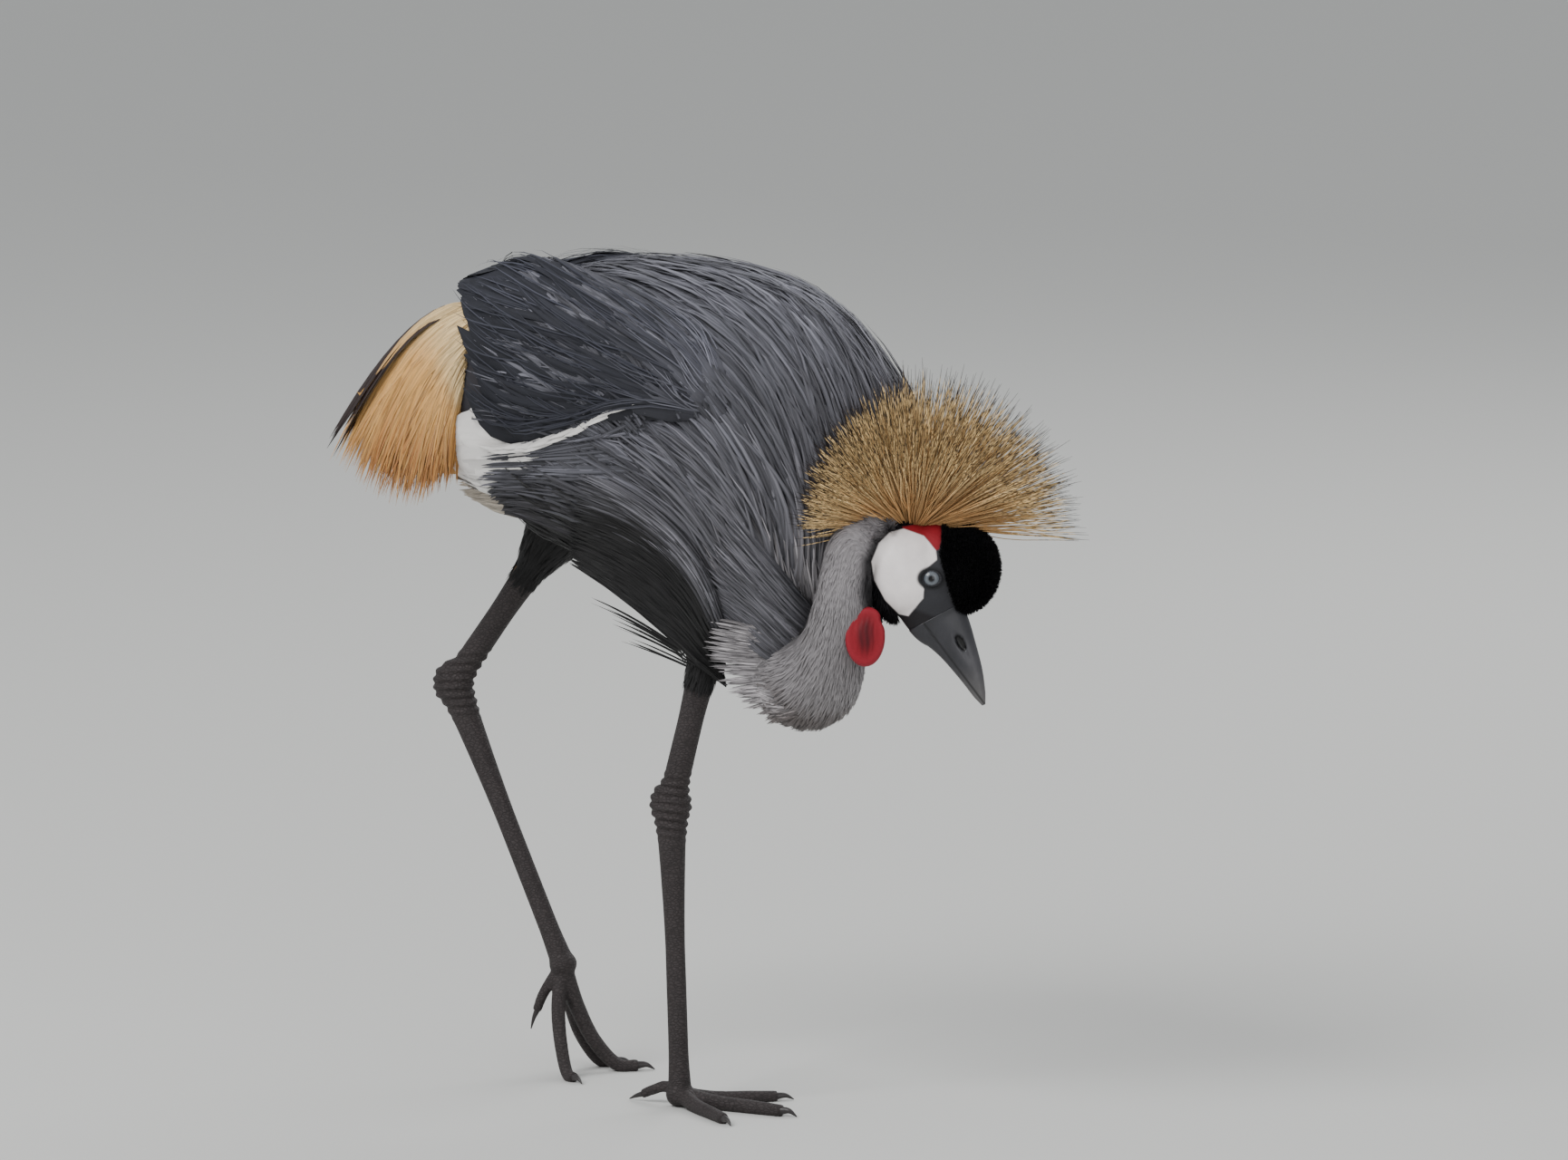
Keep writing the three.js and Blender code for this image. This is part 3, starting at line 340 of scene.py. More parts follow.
def set_tint(mesh, colors, name="tint"):
    """Colours of the points, or one for all of them, as linear values."""
    rgba = np.ones((len(mesh.vertices), 4), np.float32)
    rgba[:, :3] = colors
    layer = mesh.attributes.new(name, "FLOAT_COLOR", "POINT")
    layer.data.foreach_set("color", rgba.ravel())


def add_uv(mesh, name, per_point):
    """A UV map from one place for each point."""
    corners = np.empty(len(mesh.loops), np.int32)
    mesh.loops.foreach_get("vertex_index", corners)
    layer = mesh.uv_layers.new(name=name)
    layer.data.foreach_set("uv", per_point[corners].astype(np.float32).ravel())


def finish(obj, material, slot, *nodes):
    """The piece rides on the bird, takes its material and stands in for solid nodes, which it hides; the
    slot is not used.
    """
    obj.data.polygons.foreach_set("use_smooth", np.ones(len(obj.data.polygons), bool))
    obj.data.materials.append(material)
    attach(obj, "root")
    if nodes:
        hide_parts(*nodes)


# Colours, as the photo shows them
MANTLE = linear(95, 95, 103)
BREAST = linear(96, 95, 101)
# Painted shade: dark grey for the lower flanks and for the skin that shows in the gaps between feathers
SHADE_GREY = linear(52, 50, 54)
# Painted shade: the near-black under the belly and over the thighs
UNDERSIDE_SHADE = linear(16, 15, 16)
NECK_GREY = linear(140, 136, 138)
# Painted shade for the underside of the neck
NECK_SHADE = linear(84, 75, 72)
SLATE = linear(40, 41, 48)
WHITE_FEATHER = linear(232, 229, 226)
VENT = linear(196, 186, 172)
STRAW = linear(222, 192, 140)
GOLD = linear(212, 160, 90)
ORANGE = linear(166, 104, 50)
QUILL = linear(46, 24, 19)
TAIL_BLACK = linear(26, 24, 27)
LEG_BROWN = linear(56, 50, 50)
BRISTLE_STRAW = linear(240, 206, 148)
BRISTLE_TAN = linear(204, 158, 104)
BRISTLE_DARK = linear(34, 24, 22)
CHEEK_WHITE = linear(240, 233, 231)
CROWN_RED = linear(140, 22, 34)
VELVET_BLACK = linear(12, 11, 13)
# Painted shade behind and below the cheek, and the black of the throat and brow
SHADE_AND_THROAT_BLACK = linear(24, 22, 25)
LORE_GREY = linear(44, 44, 48)

# Patches of the head, as outlines forward and up from the eye in millimetres
CHEEK = V([
    [-41.9, 11.6], [-36.8, 24.5], [-29, 32.3], [-19.4, 34.8], [-5.2, 29.7], [3.2, 19.4], [3.9, 12.9],
    [-3.2, 7.1], [-7.1, 3.2], [-7.7, -1.3], [-5.2, -7.7], [-5.8, -14.2], [-12.9, -22.6],
    [-16.1, -26.5], [-22.6, -25.2], [-32.3, -15.5], [-40, -1.3],
])
RED_PATCH = V([
    [-20.6, 36], [-8, 38.2], [8.5, 39.2], [8, 30], [5.5, 20.5], [3.2, 19.4], [-5.2, 29.7], [-19.4, 34.8],
])
VELVET = V([
    [7.1, 39], [20, 42], [37, 34.5], [45.5, 22.5], [50, 8.4], [47.5, -4.5], [39, -19], [28, -27.5],
    [21, -26.5], [16, -19.5], [12.9, -11], [9.7, -1.3], [7.1, 8.4], [5.2, 16.8], [6.5, 24.5],
])


def inside(outline, x, y):
    """Signed distance to a closed outline, positive inside."""
    nearest = np.full(len(x), 1e9)
    crossings = np.zeros(len(x), int)
    for (ax, ay), (bx, by) in zip(outline, np.roll(outline, -1, axis=0)):
        dx, dy = bx - ax, by - ay
        share = np.clip(((x - ax) * dx + (y - ay) * dy) / (dx * dx + dy * dy), 0, 1)
        nearest = np.minimum(nearest, np.hypot(x - ax - share * dx, y - ay - share * dy))
        if dy:
            crossings += ((y < ay) != (y < by)) & (x < ax + (y - ay) / dy * dx)
    return np.where(crossings % 2 == 1, nearest, -nearest)


def face_shade(forward, up):
    """How far painted shade darkens the short feathers behind and below the cheek."""
    reach = np.interp(up, [-30, -14, 0, 12, 25, 33], [15, 12, 6, 3.5, 2, 1])
    dark = smooth(-reach - 7, -reach + 2, inside(CHEEK, forward, up))
    return dark * smooth(-70, -62, forward) * smooth(-50, -42, up)


# The skin, one body from the bill's root to the toes
VOXEL, SOFTENED = 1.5, 5       # the skin's mesh size and its rounds of smoothing
COVERED_SHARE = 0.4            # of the skin's faces, once those under the coat are thinned out
SKIN_NODES = ["torso", "neck_base", "neck_bend", "neck_upper", "head", "wing_right", "wing_left"]
for side_name in SIDES:
    SKIN_NODES += [f"{part}_{side_name}" for part in (
        "thigh", "shank", "hock", "tarsus", "foot", "toe_middle", "toe_inner", "toe_outer", "toe_hind")]


def head_ball(forward, up, reach, tilt=0.0):
    points, faces = ball([forward, 0, up], reach, 48, tilt)
    return from_head(points), faces


def raw_skin():
    """All the closed shapes that are melted into the skin."""
    rows, columns = 110, 80
    t = np.repeat(np.linspace(0, 1, rows + 1), columns)
    neck_lift = -2.2 * smooth(6.6 / SPANS, 7.6 / SPANS, t)
    shapes = [tube(trunk, neck_lift, rows, columns)]
    for side in SIDES:
        # Each loft with its lift, its rows and columns and the t where it ends
        limbs = [
            (wings[side], -4, 40, 40, 1), (rears[side], -9, 20, 30, 0.6), (thighs[side], -3, 30, 40, 1),
            (shank_loft(side), 0, 40, 32, 1), (tarsus_loft(side), 0, 60, 32, 0.97),
        ]
        shapes += [tube(loft, lift, rows, columns, 0, end) for loft, lift, rows, columns, end in limbs]
        shapes += [ball(HOCK[side], [15.4, 12, 17]), ball(TOES[side], [10, 10.8, 9.5])]
        shapes += [tube(toe_loft(side, name), 0, 40, 20) for name in TOE_GIRTH]
    shapes.append(head_ball(-16, 5.8, [27.7, 21.5, 33.5]))
    shapes.append(head_ball(2, 8, [24, 18, 31]))
    shapes.append(head_ball(19.5, 6.5, [27.3, 16.5, 30.6], 8))
    lore, faces = tube(bill, 0, 14, 40, 0, BILL_START)
    shapes.append((from_head(lore), faces))
    return shapes


def apply_modifiers(obj):
    """The object's mesh takes the shape that its modifiers give it."""
    graph = bpy.context.evaluated_depsgraph_get()
    shaped = bpy.data.meshes.new_from_object(obj.evaluated_get(graph))
    obj.modifiers.clear()
    obj.vertex_groups.clear()
    old, obj.data = obj.data, shaped
    bpy.data.meshes.remove(old)


def melt(shapes):
    """One mesh round several closed shapes that run into one another."""
    points, faces, count = [], [], 0
    for shape_points, shape_faces in shapes:
        points.append(shape_points)
        faces += [tuple(int(i) + count for i in face) for face in shape_faces]
        count += len(shape_points)
    obj = add_mesh("skin", np.vstack(points), faces)
    remesh = obj.modifiers.new("melt", "REMESH")
    remesh.mode = "VOXEL"
    remesh.voxel_size = VOXEL * MM
    soften = obj.modifiers.new("soften", "SMOOTH")
    soften.factor = 0.5
    soften.iterations = SOFTENED
    apply_modifiers(obj)
    return obj


def refine(obj, wanted):
    """Splits the faces round the wanted points once."""
    mesh = bmesh.new()
    mesh.from_mesh(obj.data)
    mesh.verts.ensure_lookup_table()
    edges = [edge for edge in mesh.edges if wanted[edge.verts[0].index] and wanted[edge.verts[1].index]]
    bmesh.ops.subdivide_edges(mesh, edges=edges, cuts=1, use_grid_fill=True, smooth=0.5)
    mesh.to_mesh(obj.data)
    mesh.free()


LID_REACH = V([6.6, 5.2])
EYEBALL, EYE_DEPTH, SOCKET_DEPTH = 8.0, 12.0, 4.5
FOLD_HEIGHT, FOLD_PITCH = 0.75, 6.2


def sink_eyes(points):
    """The skin dips behind each eyeball inside its lids."""
    own_axes = to_head(points)
    aside = np.abs(own_axes[:, 1])
    oval = np.hypot(own_axes[:, 0] / LID_REACH[0], own_axes[:, 2] / LID_REACH[1])
    socket = smooth(1.15, 0.8, oval) * (aside > 8)
    own_axes[:, 1] -= np.sign(own_axes[:, 1]) * SOCKET_DEPTH * socket
    return from_head(own_axes)


def hock_folds(points):
    """Transverse folds round each hock, as height over the smooth skin."""
    height = np.zeros(len(points))
    for side in SIDES:
        line = unit(TOES[side] - SHANK_TOP[side])
        off = points - HOCK[side]
        along = off @ line
        near = smooth(30, 14, np.abs(along)) * (np.linalg.norm(off, axis=1) < 40)
        bent = 0.5 * np.sin(off[:, 1] / 4)
        height += near * FOLD_HEIGHT * np.sin(along * 2 * math.pi / FOLD_PITCH + bent)
    return height


def leg_share(points):
    """1 on the bare legs and feet, 0 on the feathered body."""
    share = np.zeros(len(points))
    for side in SIDES:
        top = SHANK_TOP[side]
        near = np.linalg.norm(points[:, :2] - top[:2], axis=1) < 200
        share = np.maximum(share, near * smooth(top[2] + 14, top[2] - 4, points[:, 2]))
    trunk_low = (points[:, 0] > 75) & (points[:, 2] > 230)
    return np.where(trunk_low, 0, share)


def skin_tint(points):
    """The marking of the skin at points in the body's axes, with painted shade in the gaps of the coat and
    round the cheek.
    """
    x, y, z = points.T
    forward, aside, up = to_head(points).T
    grain = 1 + 0.06 * np.sin(x * 0.7) * np.sin(y * 0.9 + z * 0.8)
    head = smooth(-62, -50, forward) * (x > 150) * (np.abs(aside) < 40)
    lids = np.hypot(forward / LID_REACH[0], up / LID_REACH[1])
    # The skin starts dark grey, painted shade that shows in the gaps between the feathers
    tint = SHADE_GREY
    for color, share in (
            (GOLD * 0.7, smooth(-128, -150, x) * (z > 300)),
            (NECK_GREY * 0.75, smooth(84, 96, x) * (z < 372)),
            (LEG_BROWN * grain[:, None], leg_share(points)),
            (NECK_GREY, head),
            # Painted shade behind and below the cheek
            (SHADE_AND_THROAT_BLACK, face_shade(forward, up) * head),
            (LORE_GREY, smooth(-20, -12, forward - 0.1 * up) * head),
            (SHADE_AND_THROAT_BLACK, smooth(-24, -28, up + 0.35 * forward) * smooth(-46, -40, forward) * head),
            (SHADE_AND_THROAT_BLACK, smooth(34, 35.5, up) * smooth(-24, -20, forward) * head),
            (CROWN_RED, smooth(-0.5, 0.5, inside(RED_PATCH, forward, up)) * head),
            (CHEEK_WHITE, smooth(-0.4, 0.5, inside(CHEEK, forward, up)) * head),
            (VELVET_BLACK, smooth(-0.5, 0.8, inside(VELVET, forward, up)) * head),
            (LORE_GREY * 0.5, smooth(1.75, 1.35, lids) * (np.abs(aside) > 8) * head)):
        tint = mix(tint, color, share)
    return tint


def thin_out(obj, covered):
    """Leaves only a share of the faces where the skin is covered."""
    group = obj.vertex_groups.new(name="covered")
    group.add([int(i) for i in np.nonzero(covered)[0]], 1.0, "REPLACE")
    fewer = obj.modifiers.new("fewer", "DECIMATE")
    fewer.vertex_group = group.name
    fewer.ratio = COVERED_SHARE
    apply_modifiers(obj)


def build_skin(material):
    skin = melt(raw_skin())
    points = read_points(skin.data)
    thin_out(skin, (points[:, 2] > 330) & (points[:, 0] < 150))
    points = read_points(skin.data)
    near_head = (np.abs(to_head(points)) < V([62, 34, 54])).all(1) & (points[:, 0] > 165)
    near_hock = sum(np.linalg.norm(points - HOCK[side], axis=1) < 36 for side in HOCK) > 0
    refine(skin, near_head | near_hock)
    points = read_points(skin.data)
    points = points + read_normals(skin.data) * hock_folds(points)[:, None]
    points = sink_eyes(points)
    points[:, 2] = np.maximum(points[:, 2], 0)
    write_points(skin.data, points)
    set_tint(skin.data, skin_tint(points))
    set_tint(skin.data, leg_share(points)[:, None], "scaly")
    finish(skin, material, "head_skin", *SKIN_NODES)
    return skin


# Feathers
# A feather is a strip of rows from root to tip and of columns from edge to edge.
ISLANDS = {                    # each region's corner and size on the unwrap of the skin
    "trunk": (0.02, 0.02, 0.5, 0.96), "wing_right": (0.55, 0.52, 0.2, 0.44),
    "wing_left": (0.78, 0.52, 0.2, 0.44), "rear_right": (0.55, 0.3, 0.2, 0.2),
    "rear_left": (0.78, 0.3, 0.2, 0.2), "thigh_right": (0.55, 0.12, 0.2, 0.16),
    "thigh_left": (0.78, 0.12, 0.2, 0.16), "head": (0.55, 0.01, 0.2, 0.1),
    "tail": (0.78, 0.01, 0.2, 0.1),
}
PATCH = 0.003                  # the size of one feather on the unwrap


def on_island(name, t, turn):
    """Places on the unwrap, for t and turn within a region."""
    x, y, width, height = ISLANDS[name]
    across, along = np.broadcast_arrays(x + width * (turn % 360) / 360, y + height * np.clip(t, 0, 1))
    return np.stack([across, along], -1)


def vary(least, span, size):
    """Random values from least to least + span."""
    return least + span * random.random(size)


def rows_between(start, end, rows):
    """Rows of values from each start to each end."""
    return start[:, None] + (end - start)[:, None] * np.linspace(0, 1, rows)


T_STEP = 0.004                 # the step of t that shows how fast a loft's surface runs
SLOWEST = 0.35                 # of a loft's length for each unit of t


def trace(loft, t, turn, length, rows, way, drift, lifts, guide=None):
    """Places and outward directions of each feather's rows as it runs along a loft."""
    t, turn = np.array(t, float), np.array(turn, float)
    past = np.zeros(len(t))
    places, outs = [], []
    for row in range(rows):
        point, out = loft.surface(t, turn, lifts[:, row])
        along = loft.at(t)[1] * way
        places.append(point + along * past[:, None])
        outs.append(out)
        ahead, _ = loft.surface(t + T_STEP * way, turn)
        here, _ = loft.surface(t, turn)
        pace = np.maximum(np.linalg.norm(ahead - here, axis=1) / T_STEP, loft.length * SLOWEST)
        reached = t + way * length / (rows - 1) / pace
        over = np.maximum(reached - 1, -reached)
        past = past + np.maximum(over, 0) * pace
        t = np.clip(reached, 0, 1)
        turn = turn + drift / (rows - 1)
        turn = guide(t, turn) if guide else turn
    return np.stack(places, 1), np.stack(outs, 1)


def strips(places, outs, half, columns, camber, twist=0.0):
    """Points of feathers round their middle lines, with half their width at each row."""
    ahead = unit(np.gradient(places, axis=1))
    side = unit(np.cross(ahead, outs))
    lean = np.radians(np.reshape(twist, (-1, 1, 1)))
    side = unit(side * np.cos(lean) + outs * np.sin(lean))
    over = np.cross(side, ahead)
    across = np.linspace(-1, 1, columns)
    spread = half[:, :, None] * across
    bow = camber * half[:, :, None] * across ** 2
    return places[:, :, None] + side[:, :, None] * spread[..., None] - over[:, :, None] * bow[..., None]


def profile(shares, values, rows):
    return np.interp(np.linspace(0, 1, rows), shares, values)


def coat(name, slot, material, batches, *nodes):
    """One mesh of feathers from batches of (points, tints, places of the roots on the unwrap)."""
    points, tints, lies, bakes, faces, count = [], [], [], [], [], 0
    for strip, tint, roots in batches:
        number, rows, columns, _ = strip.shape
        across, along = np.meshgrid(np.linspace(0, 1, columns), np.linspace(0, 1, rows))
        lie = np.tile(np.stack([across, along], -1), (number, 1, 1, 1))
        bakes.append((roots[:, None, None] + PATCH * (lie - 0.5)).reshape(-1, 2))
        lies.append(lie.reshape(-1, 2))
        points.append(strip.reshape(-1, 3))
        tints.append(np.broadcast_to(tint, strip.shape).reshape(-1, 3))
        one = grid_faces(rows, columns, False)
        starts = count + np.arange(number) * rows * columns
        faces.append((one[None] + starts[:, None, None]).reshape(-1, 4))
        count += number * rows * columns
    points, faces = np.vstack(points), np.vstack(faces)
    mesh = bpy.data.meshes.new(name)
    mesh.vertices.add(len(points))
    mesh.vertices.foreach_set("co", ((points + TO_FRAME) * MM).astype(np.float32).ravel())
    mesh.loops.add(faces.size)
    mesh.loops.foreach_set("vertex_index", faces.astype(np.int32).ravel())
    mesh.polygons.add(len(faces))
    mesh.polygons.foreach_set("loop_start", np.arange(len(faces), dtype=np.int32) * 4)
    mesh.update(calc_edges=True)
    add_uv(mesh, "OFBake", np.vstack(bakes))
    add_uv(mesh, "lie", np.vstack(lies))
    set_tint(mesh, np.vstack(tints))
    obj = bpy.data.objects.new(name, mesh)
    bpy.context.scene.collection.objects.link(obj)
    finish(obj, material, slot, *nodes)


# Body and neck plumage
# Outlines of feathers, as their width at shares of their length
LANCE = ([0, 0.3, 0.75, 1], [0.5, 1, 0.7, 0.04])
ROUND = ([0, 0.25, 0.6, 0.85, 0.96, 1], [0.45, 0.85, 1, 0.8, 0.4, 0.06])
LEAF = ([0, 0.25, 0.55, 0.8, 0.93, 1], [0.4, 0.85, 1, 0.66, 0.3, 0.03])


def span_of(t):
    """The place along the trunk as a number of stations from the rear."""
    return t * SPANS


def plume_length(span):
    return np.interp(span, [0.5, 1.5, 3, 5, 6.2, 7, 8, 9, 10, 11, 12, 15],
                     [46, 66, 100, 118, 112, 88, 56, 38, 26, 19, 14, 9])


def plume_width(span):
    return np.interp(span, [0.5, 3, 6, 7, 8, 10, 12, 15], [4.4, 3.9, 3.4, 2.8, 2.1, 1.4, 1.1, 1.0])


def coat_depth(span):
    return np.interp(span, [0, 1, 3, 6, 7, 8, 10, 12, 15], [7, 10, 11, 9, 6, 4.5, 3, 2, 1.3])


def scatter(number, low, high):
    """Random places along the trunk, closer together where its plumes are smaller."""
    t = np.linspace(low, high, 400)
    girth = trunk.at(t)[-1].sum(1) * 1.5
    pace = np.linalg.norm(trunk.at(t + 0.003)[0] - trunk.at(t - 0.003)[0], axis=1) + 1
    share = np.cumsum(girth / (plume_length(span_of(t)) * plume_width(span_of(t))) * pace)
    return np.interp(random.random(number), share / share[-1], t)


DARK_ABOVE = 0.78              # feathers whose random pick lies above this are dark


def feather_tone(number, dark=0.68, pale=1.45, pale_share=0.16):
    """How light each feather is, most near the middle and a few clearly paler or darker."""
    tone = vary(0.86, 0.28, number)
    pick = random.random(number)
    tone = np.where(pick < pale_share, pale, tone)
    return np.where(pick > DARK_ABOVE, dark, tone)


def along_tint(base, tone, rows, columns, root=0.6, tip=1.12, edge=0.72):
    """Tints of strips, darker at the root and at the edges and paler at the tip: painted shade where the
    feathers overlap.
    """
    along = np.linspace(root, tip, rows)[:, None, None]
    across = (1 - (1 - edge) * np.linspace(-1, 1, columns) ** 2)[:, None]
    return np.reshape(base, (-1, 1, 1, 3)) * np.reshape(tone, (-1, 1, 1, 1)) * along * across


def trunk_tint(t, turn, points):
    span = span_of(t)
    down = 0.5 - 0.5 * np.cos(np.radians(turn))
    tint = mix(MANTLE, BREAST, smooth(4.5, 6.5, span))
    # Painted shade, darker towards the underside of the flanks
    tint = mix(tint, SHADE_GREY, 0.55 * smooth(0.35, 0.8, down) * smooth(6.4, 4.5, span))
    edge = np.interp(span, [1.8, 2.6, 4.6, 5.6], [0.84, 0.7, 0.68, 0.62])
    # Painted shade, nearly black under the belly
    tint = mix(tint, UNDERSIDE_SHADE, smooth(edge, edge + 0.14, down) * smooth(7.2, 6, span))
    tint = mix(tint, NECK_GREY, smooth(6.7, 7.8, span))
    # Painted shade on the underside of the neck's bend
    below = smooth(345, 300, points[:, 2]) * (span > 7) * smooth(10.5, 9.8, span)
    tint = mix(tint, NECK_SHADE, 0.8 * below)
    return mix(tint, VENT, smooth(1.6, 0.9, span) * smooth(0.4, 0.7, down))


def looseness(span):
    """1 for the loose plumes of the body, 0 for the close feathers of the upper neck."""
    return smooth(10, 7, span)


def locks(t, turn, seed):
    """How plumes gather into locks, a smooth value from -1 to 1 over the body."""
    a = turn * 0.21 + seed
    b = span_of(t) * 2.6 + seed * 1.7
    return (np.sin(a * 1.7 + 1.3 * np.sin(b)) + np.sin(a * 3.1 - 0.8 * b)) / 2


PUSH_SAMPLES, PUSH_ALONG = 50, 8   # stations along a loft, and how far from one a point may be
MOST_PUSHED = 0.3


def push_out(points, loft, margin, low, high):
    """Moves what lies inside a loft straight out, to margin over its surface."""
    t = np.linspace(low, high, PUSH_SAMPLES)
    place, along, side, up, reach = loft.at(t)
    flat = points.reshape(-1, 3)
    apart = (flat ** 2).sum(1)[:, None] - 2 * flat @ place.T + (place ** 2).sum(1)[None]
    nearest = apart.argmin(1)
    off = flat - place[nearest]
    ahead = (off * along[nearest]).sum(1, keepdims=True)
    across = off - along[nearest] * ahead
    rise, aside = (across * up[nearest]).sum(1), (across * side[nearest]).sum(1)
    tall = np.where(rise > 0, reach[nearest, 0], reach[nearest, 1]) + margin
    share = np.hypot(rise / tall, aside / (reach[nearest, 2] + margin))
    within = (share < 1) & (np.abs(ahead[:, 0]) < PUSH_ALONG)
    grow = np.where(within, 1 / np.maximum(share, MOST_PUSHED), 1.0)
    moved = place[nearest] + along[nearest] * ahead + across * grow[:, None]
    return moved.reshape(points.shape)


def clear_of_legs(points, margin):
    for side in SIDES:
        points = push_out(points, thighs[side], margin, 0.1, 0.85)
    return points


def flow(span, turn):
    """Degrees that a plume turns up towards the back in 100 mm."""
    below = 180 - away_from_top(turn)
    flank = np.interp(span, [1.5, 2.6, 3.3, 4.2, 5, 6.5], [34, 32, 26, 16, 9, 8])
    flank = flank * smooth(8, 34, below) * smooth(104, 80, below)
    mantle = 15 * smooth(88, 112, below) * smooth(178, 158, below)
    return np.where(turn > 180, 1, -1) * (flank + mantle) * smooth(7.6, 6.8, span)


def away_from_top(turn):
    return np.minimum(turn % 360, 360 - turn % 360)


# The wing's lower edge, as degrees up from the middle of the belly by span
WING_EDGE = ([1.46, 1.85, 2.39, 2.86, 3.25, 3.45, 3.6, 3.7], [66, 76, 84, 88, 94, 103, 112, 180])
WING_REAR_SPAN, WING_FRONT_SPAN = 3.6, 5.8
HEAD_SPAN = 10.5               # where the plumage of the neck reaches the head
LEG_CLEARANCE, WING_CLEARANCE = 4.0, 4.0


def rooted_low(t, turn):
    """Whether plumes grow below the wing and so stay under its lower edge."""
    edge = np.interp(np.minimum(span_of(t), WING_REAR_SPAN), *WING_EDGE)
    return 180 - away_from_top(turn) < edge


def trunk_lines(t, turn, rows):
    """Places and outward directions of the trunk's plumes, clear of the wings and the legs."""
    span, number = span_of(t), len(t)
    length = plume_length(span) * vary(0.72, 0.56, number)
    depth = coat_depth(span) * vary(0.35, 0.85, number)
    depth = depth * (1 + 0.25 * locks(t, turn, 2.0))
    rise = profile([0, 0.25, 0.7, 1], [-0.12, 0.45, 0.95, 1], rows)
    nape = 3.5 * smooth(10.2, 11.4, span) * smooth(60, 20, away_from_top(turn))
    lifts = (depth + nape)[:, None] * rise
    loose = looseness(span)
    drift = flow(span, turn) * length / 100 + (1 - loose) * 4 * random.standard_normal(number)
    drift = drift + loose * (5 * random.standard_normal(number) + 6 * locks(t, turn, 0.0))
    low = rooted_low(t, turn)

    def under_wing(at_t, at_turn):
        below = 180 - away_from_top(at_turn)
        past = np.maximum(below - np.interp(span_of(at_t), *WING_EDGE), 0) * low
        return at_turn - np.where(at_turn > 180, 1, -1) * past

    places, outs = trace(trunk, t, turn, length, rows, -1, drift, lifts, under_wing)
    over_wing = ~low & (away_from_top(turn) > 25) & (span < WING_FRONT_SPAN)
    for side, chosen in (("right", over_wing & (turn > 180)), ("left", over_wing & (turn <= 180))):
        if chosen.any():
            places[chosen] = push_out(places[chosen], domes[side], WING_CLEARANCE, 0.0, 0.6)
    return clear_of_legs(places, LEG_CLEARANCE), outs


def trunk_batch(t, turn, rows, columns):
    """Plumes of the body and the neck, rooted at t and turn."""
    span, number = span_of(t), len(t)
    places, outs = trunk_lines(t, turn, rows)
    half = plume_width(span)[:, None] * 0.45 * profile(*LANCE, rows)
    half = half * vary(0.75, 0.6, (number, 1))
    twist = 12 * looseness(span) * random.standard_normal(number)
    strip = strips(places, outs, half, columns, 0.3, twist)
    tone = feather_tone(number, 0.62, 1.6, 0.12) * (1 + 0.14 * locks(t, turn, 5.0))
    tone = 1 + (tone - 1) * (0.2 + 0.8 * smooth(9.5, 7.4, span))
    base = trunk_tint(t, turn, places[:, 0])
    coarse = along_tint(base, tone, rows, columns, 0.55, 1.2)
    plush = along_tint(base, tone, rows, columns, 0.9, 1.04, 0.9)
    tint = mix(coarse, plush, smooth(7.6, 9.0, span)[:, None, None])
    # Painted shade behind and below the cheek, row by row
    if span.max() > HEAD_SPAN:
        forward, _, up = to_head(places.reshape(-1, 3)).T
        shade = face_shade(forward, up).reshape(number, rows) * (span > HEAD_SPAN)[:, None]
        tint = mix(tint, SHADE_AND_THROAT_BLACK, shade[..., None])
    return strip, tint, on_island("trunk", t, turn)


def swept(lines, across, share):
    """Points on smooth arcs through three lines, at places across the lines and along the arcs."""
    across = np.clip(np.broadcast_to(across, share.shape), 0, 1)
    first, middle, last = (spline(line, across.ravel()).reshape(*share.shape, 3) for line in lines)
    a, b = share[..., None], 1 - share[..., None]
    return b * (1 - 2 * a) * first + 4 * a * b * middle + a * (2 * a - 1) * last


# Plumes that sweep over the body in arcs through three lines, on the right of the bird: from the
# foot of the neck over the near thigh, thin wisps below the belly, and over the flank, vent and breast
APRON_LINES = [
    V([[56, -58, 318], [61, -62, 337], [70, -66, 354]]),
    V([[8, -62, 359], [30, -80, 396], [48, -88, 420]]),
    V([[-56, -40, 387], [-37, -74, 423], [-21, -92, 463]]),
]
WISP_LINES = [
    V([[55, -56, 318], [57, -54, 312]]), V([[1, -48, 347], [17, -44, 323]]),
    V([[-53, -40, 366], [-28, -36, 333]]),
]
FLANK_LINES = [
    V([[-47, -66, 412], [-17, -84, 442], [1, -90, 470], [9, -93, 500]]),
    V([[-89, -60, 423], [-82, -72, 444], [-76, -82, 463], [-60, -90, 480]]),
    V([[-103, -54, 423], [-116, -58, 439], [-134, -60, 456], [-144, -64, 464]]),
]
VENT_LINES = [
    V([[-79, -45, 419], [-84, -50, 443], [-94, -50, 462]]),
    V([[-108, -44, 420], [-117, -50, 437], [-127, -54, 456]]),
    V([[-133, -38, 425], [-147, -42, 434], [-152, -44, 449]]),
]
BREAST_LINES = [
    V([[134, -56, 368], [126, -58, 352], [115, -60, 342], [104, -62, 332]]),
    V([[108, -76, 410], [97, -72, 386], [88, -66, 370], [76, -60, 352]]),
    V([[78, -87, 452], [66, -84, 422], [56, -77, 398], [46, -66, 374]]),
]
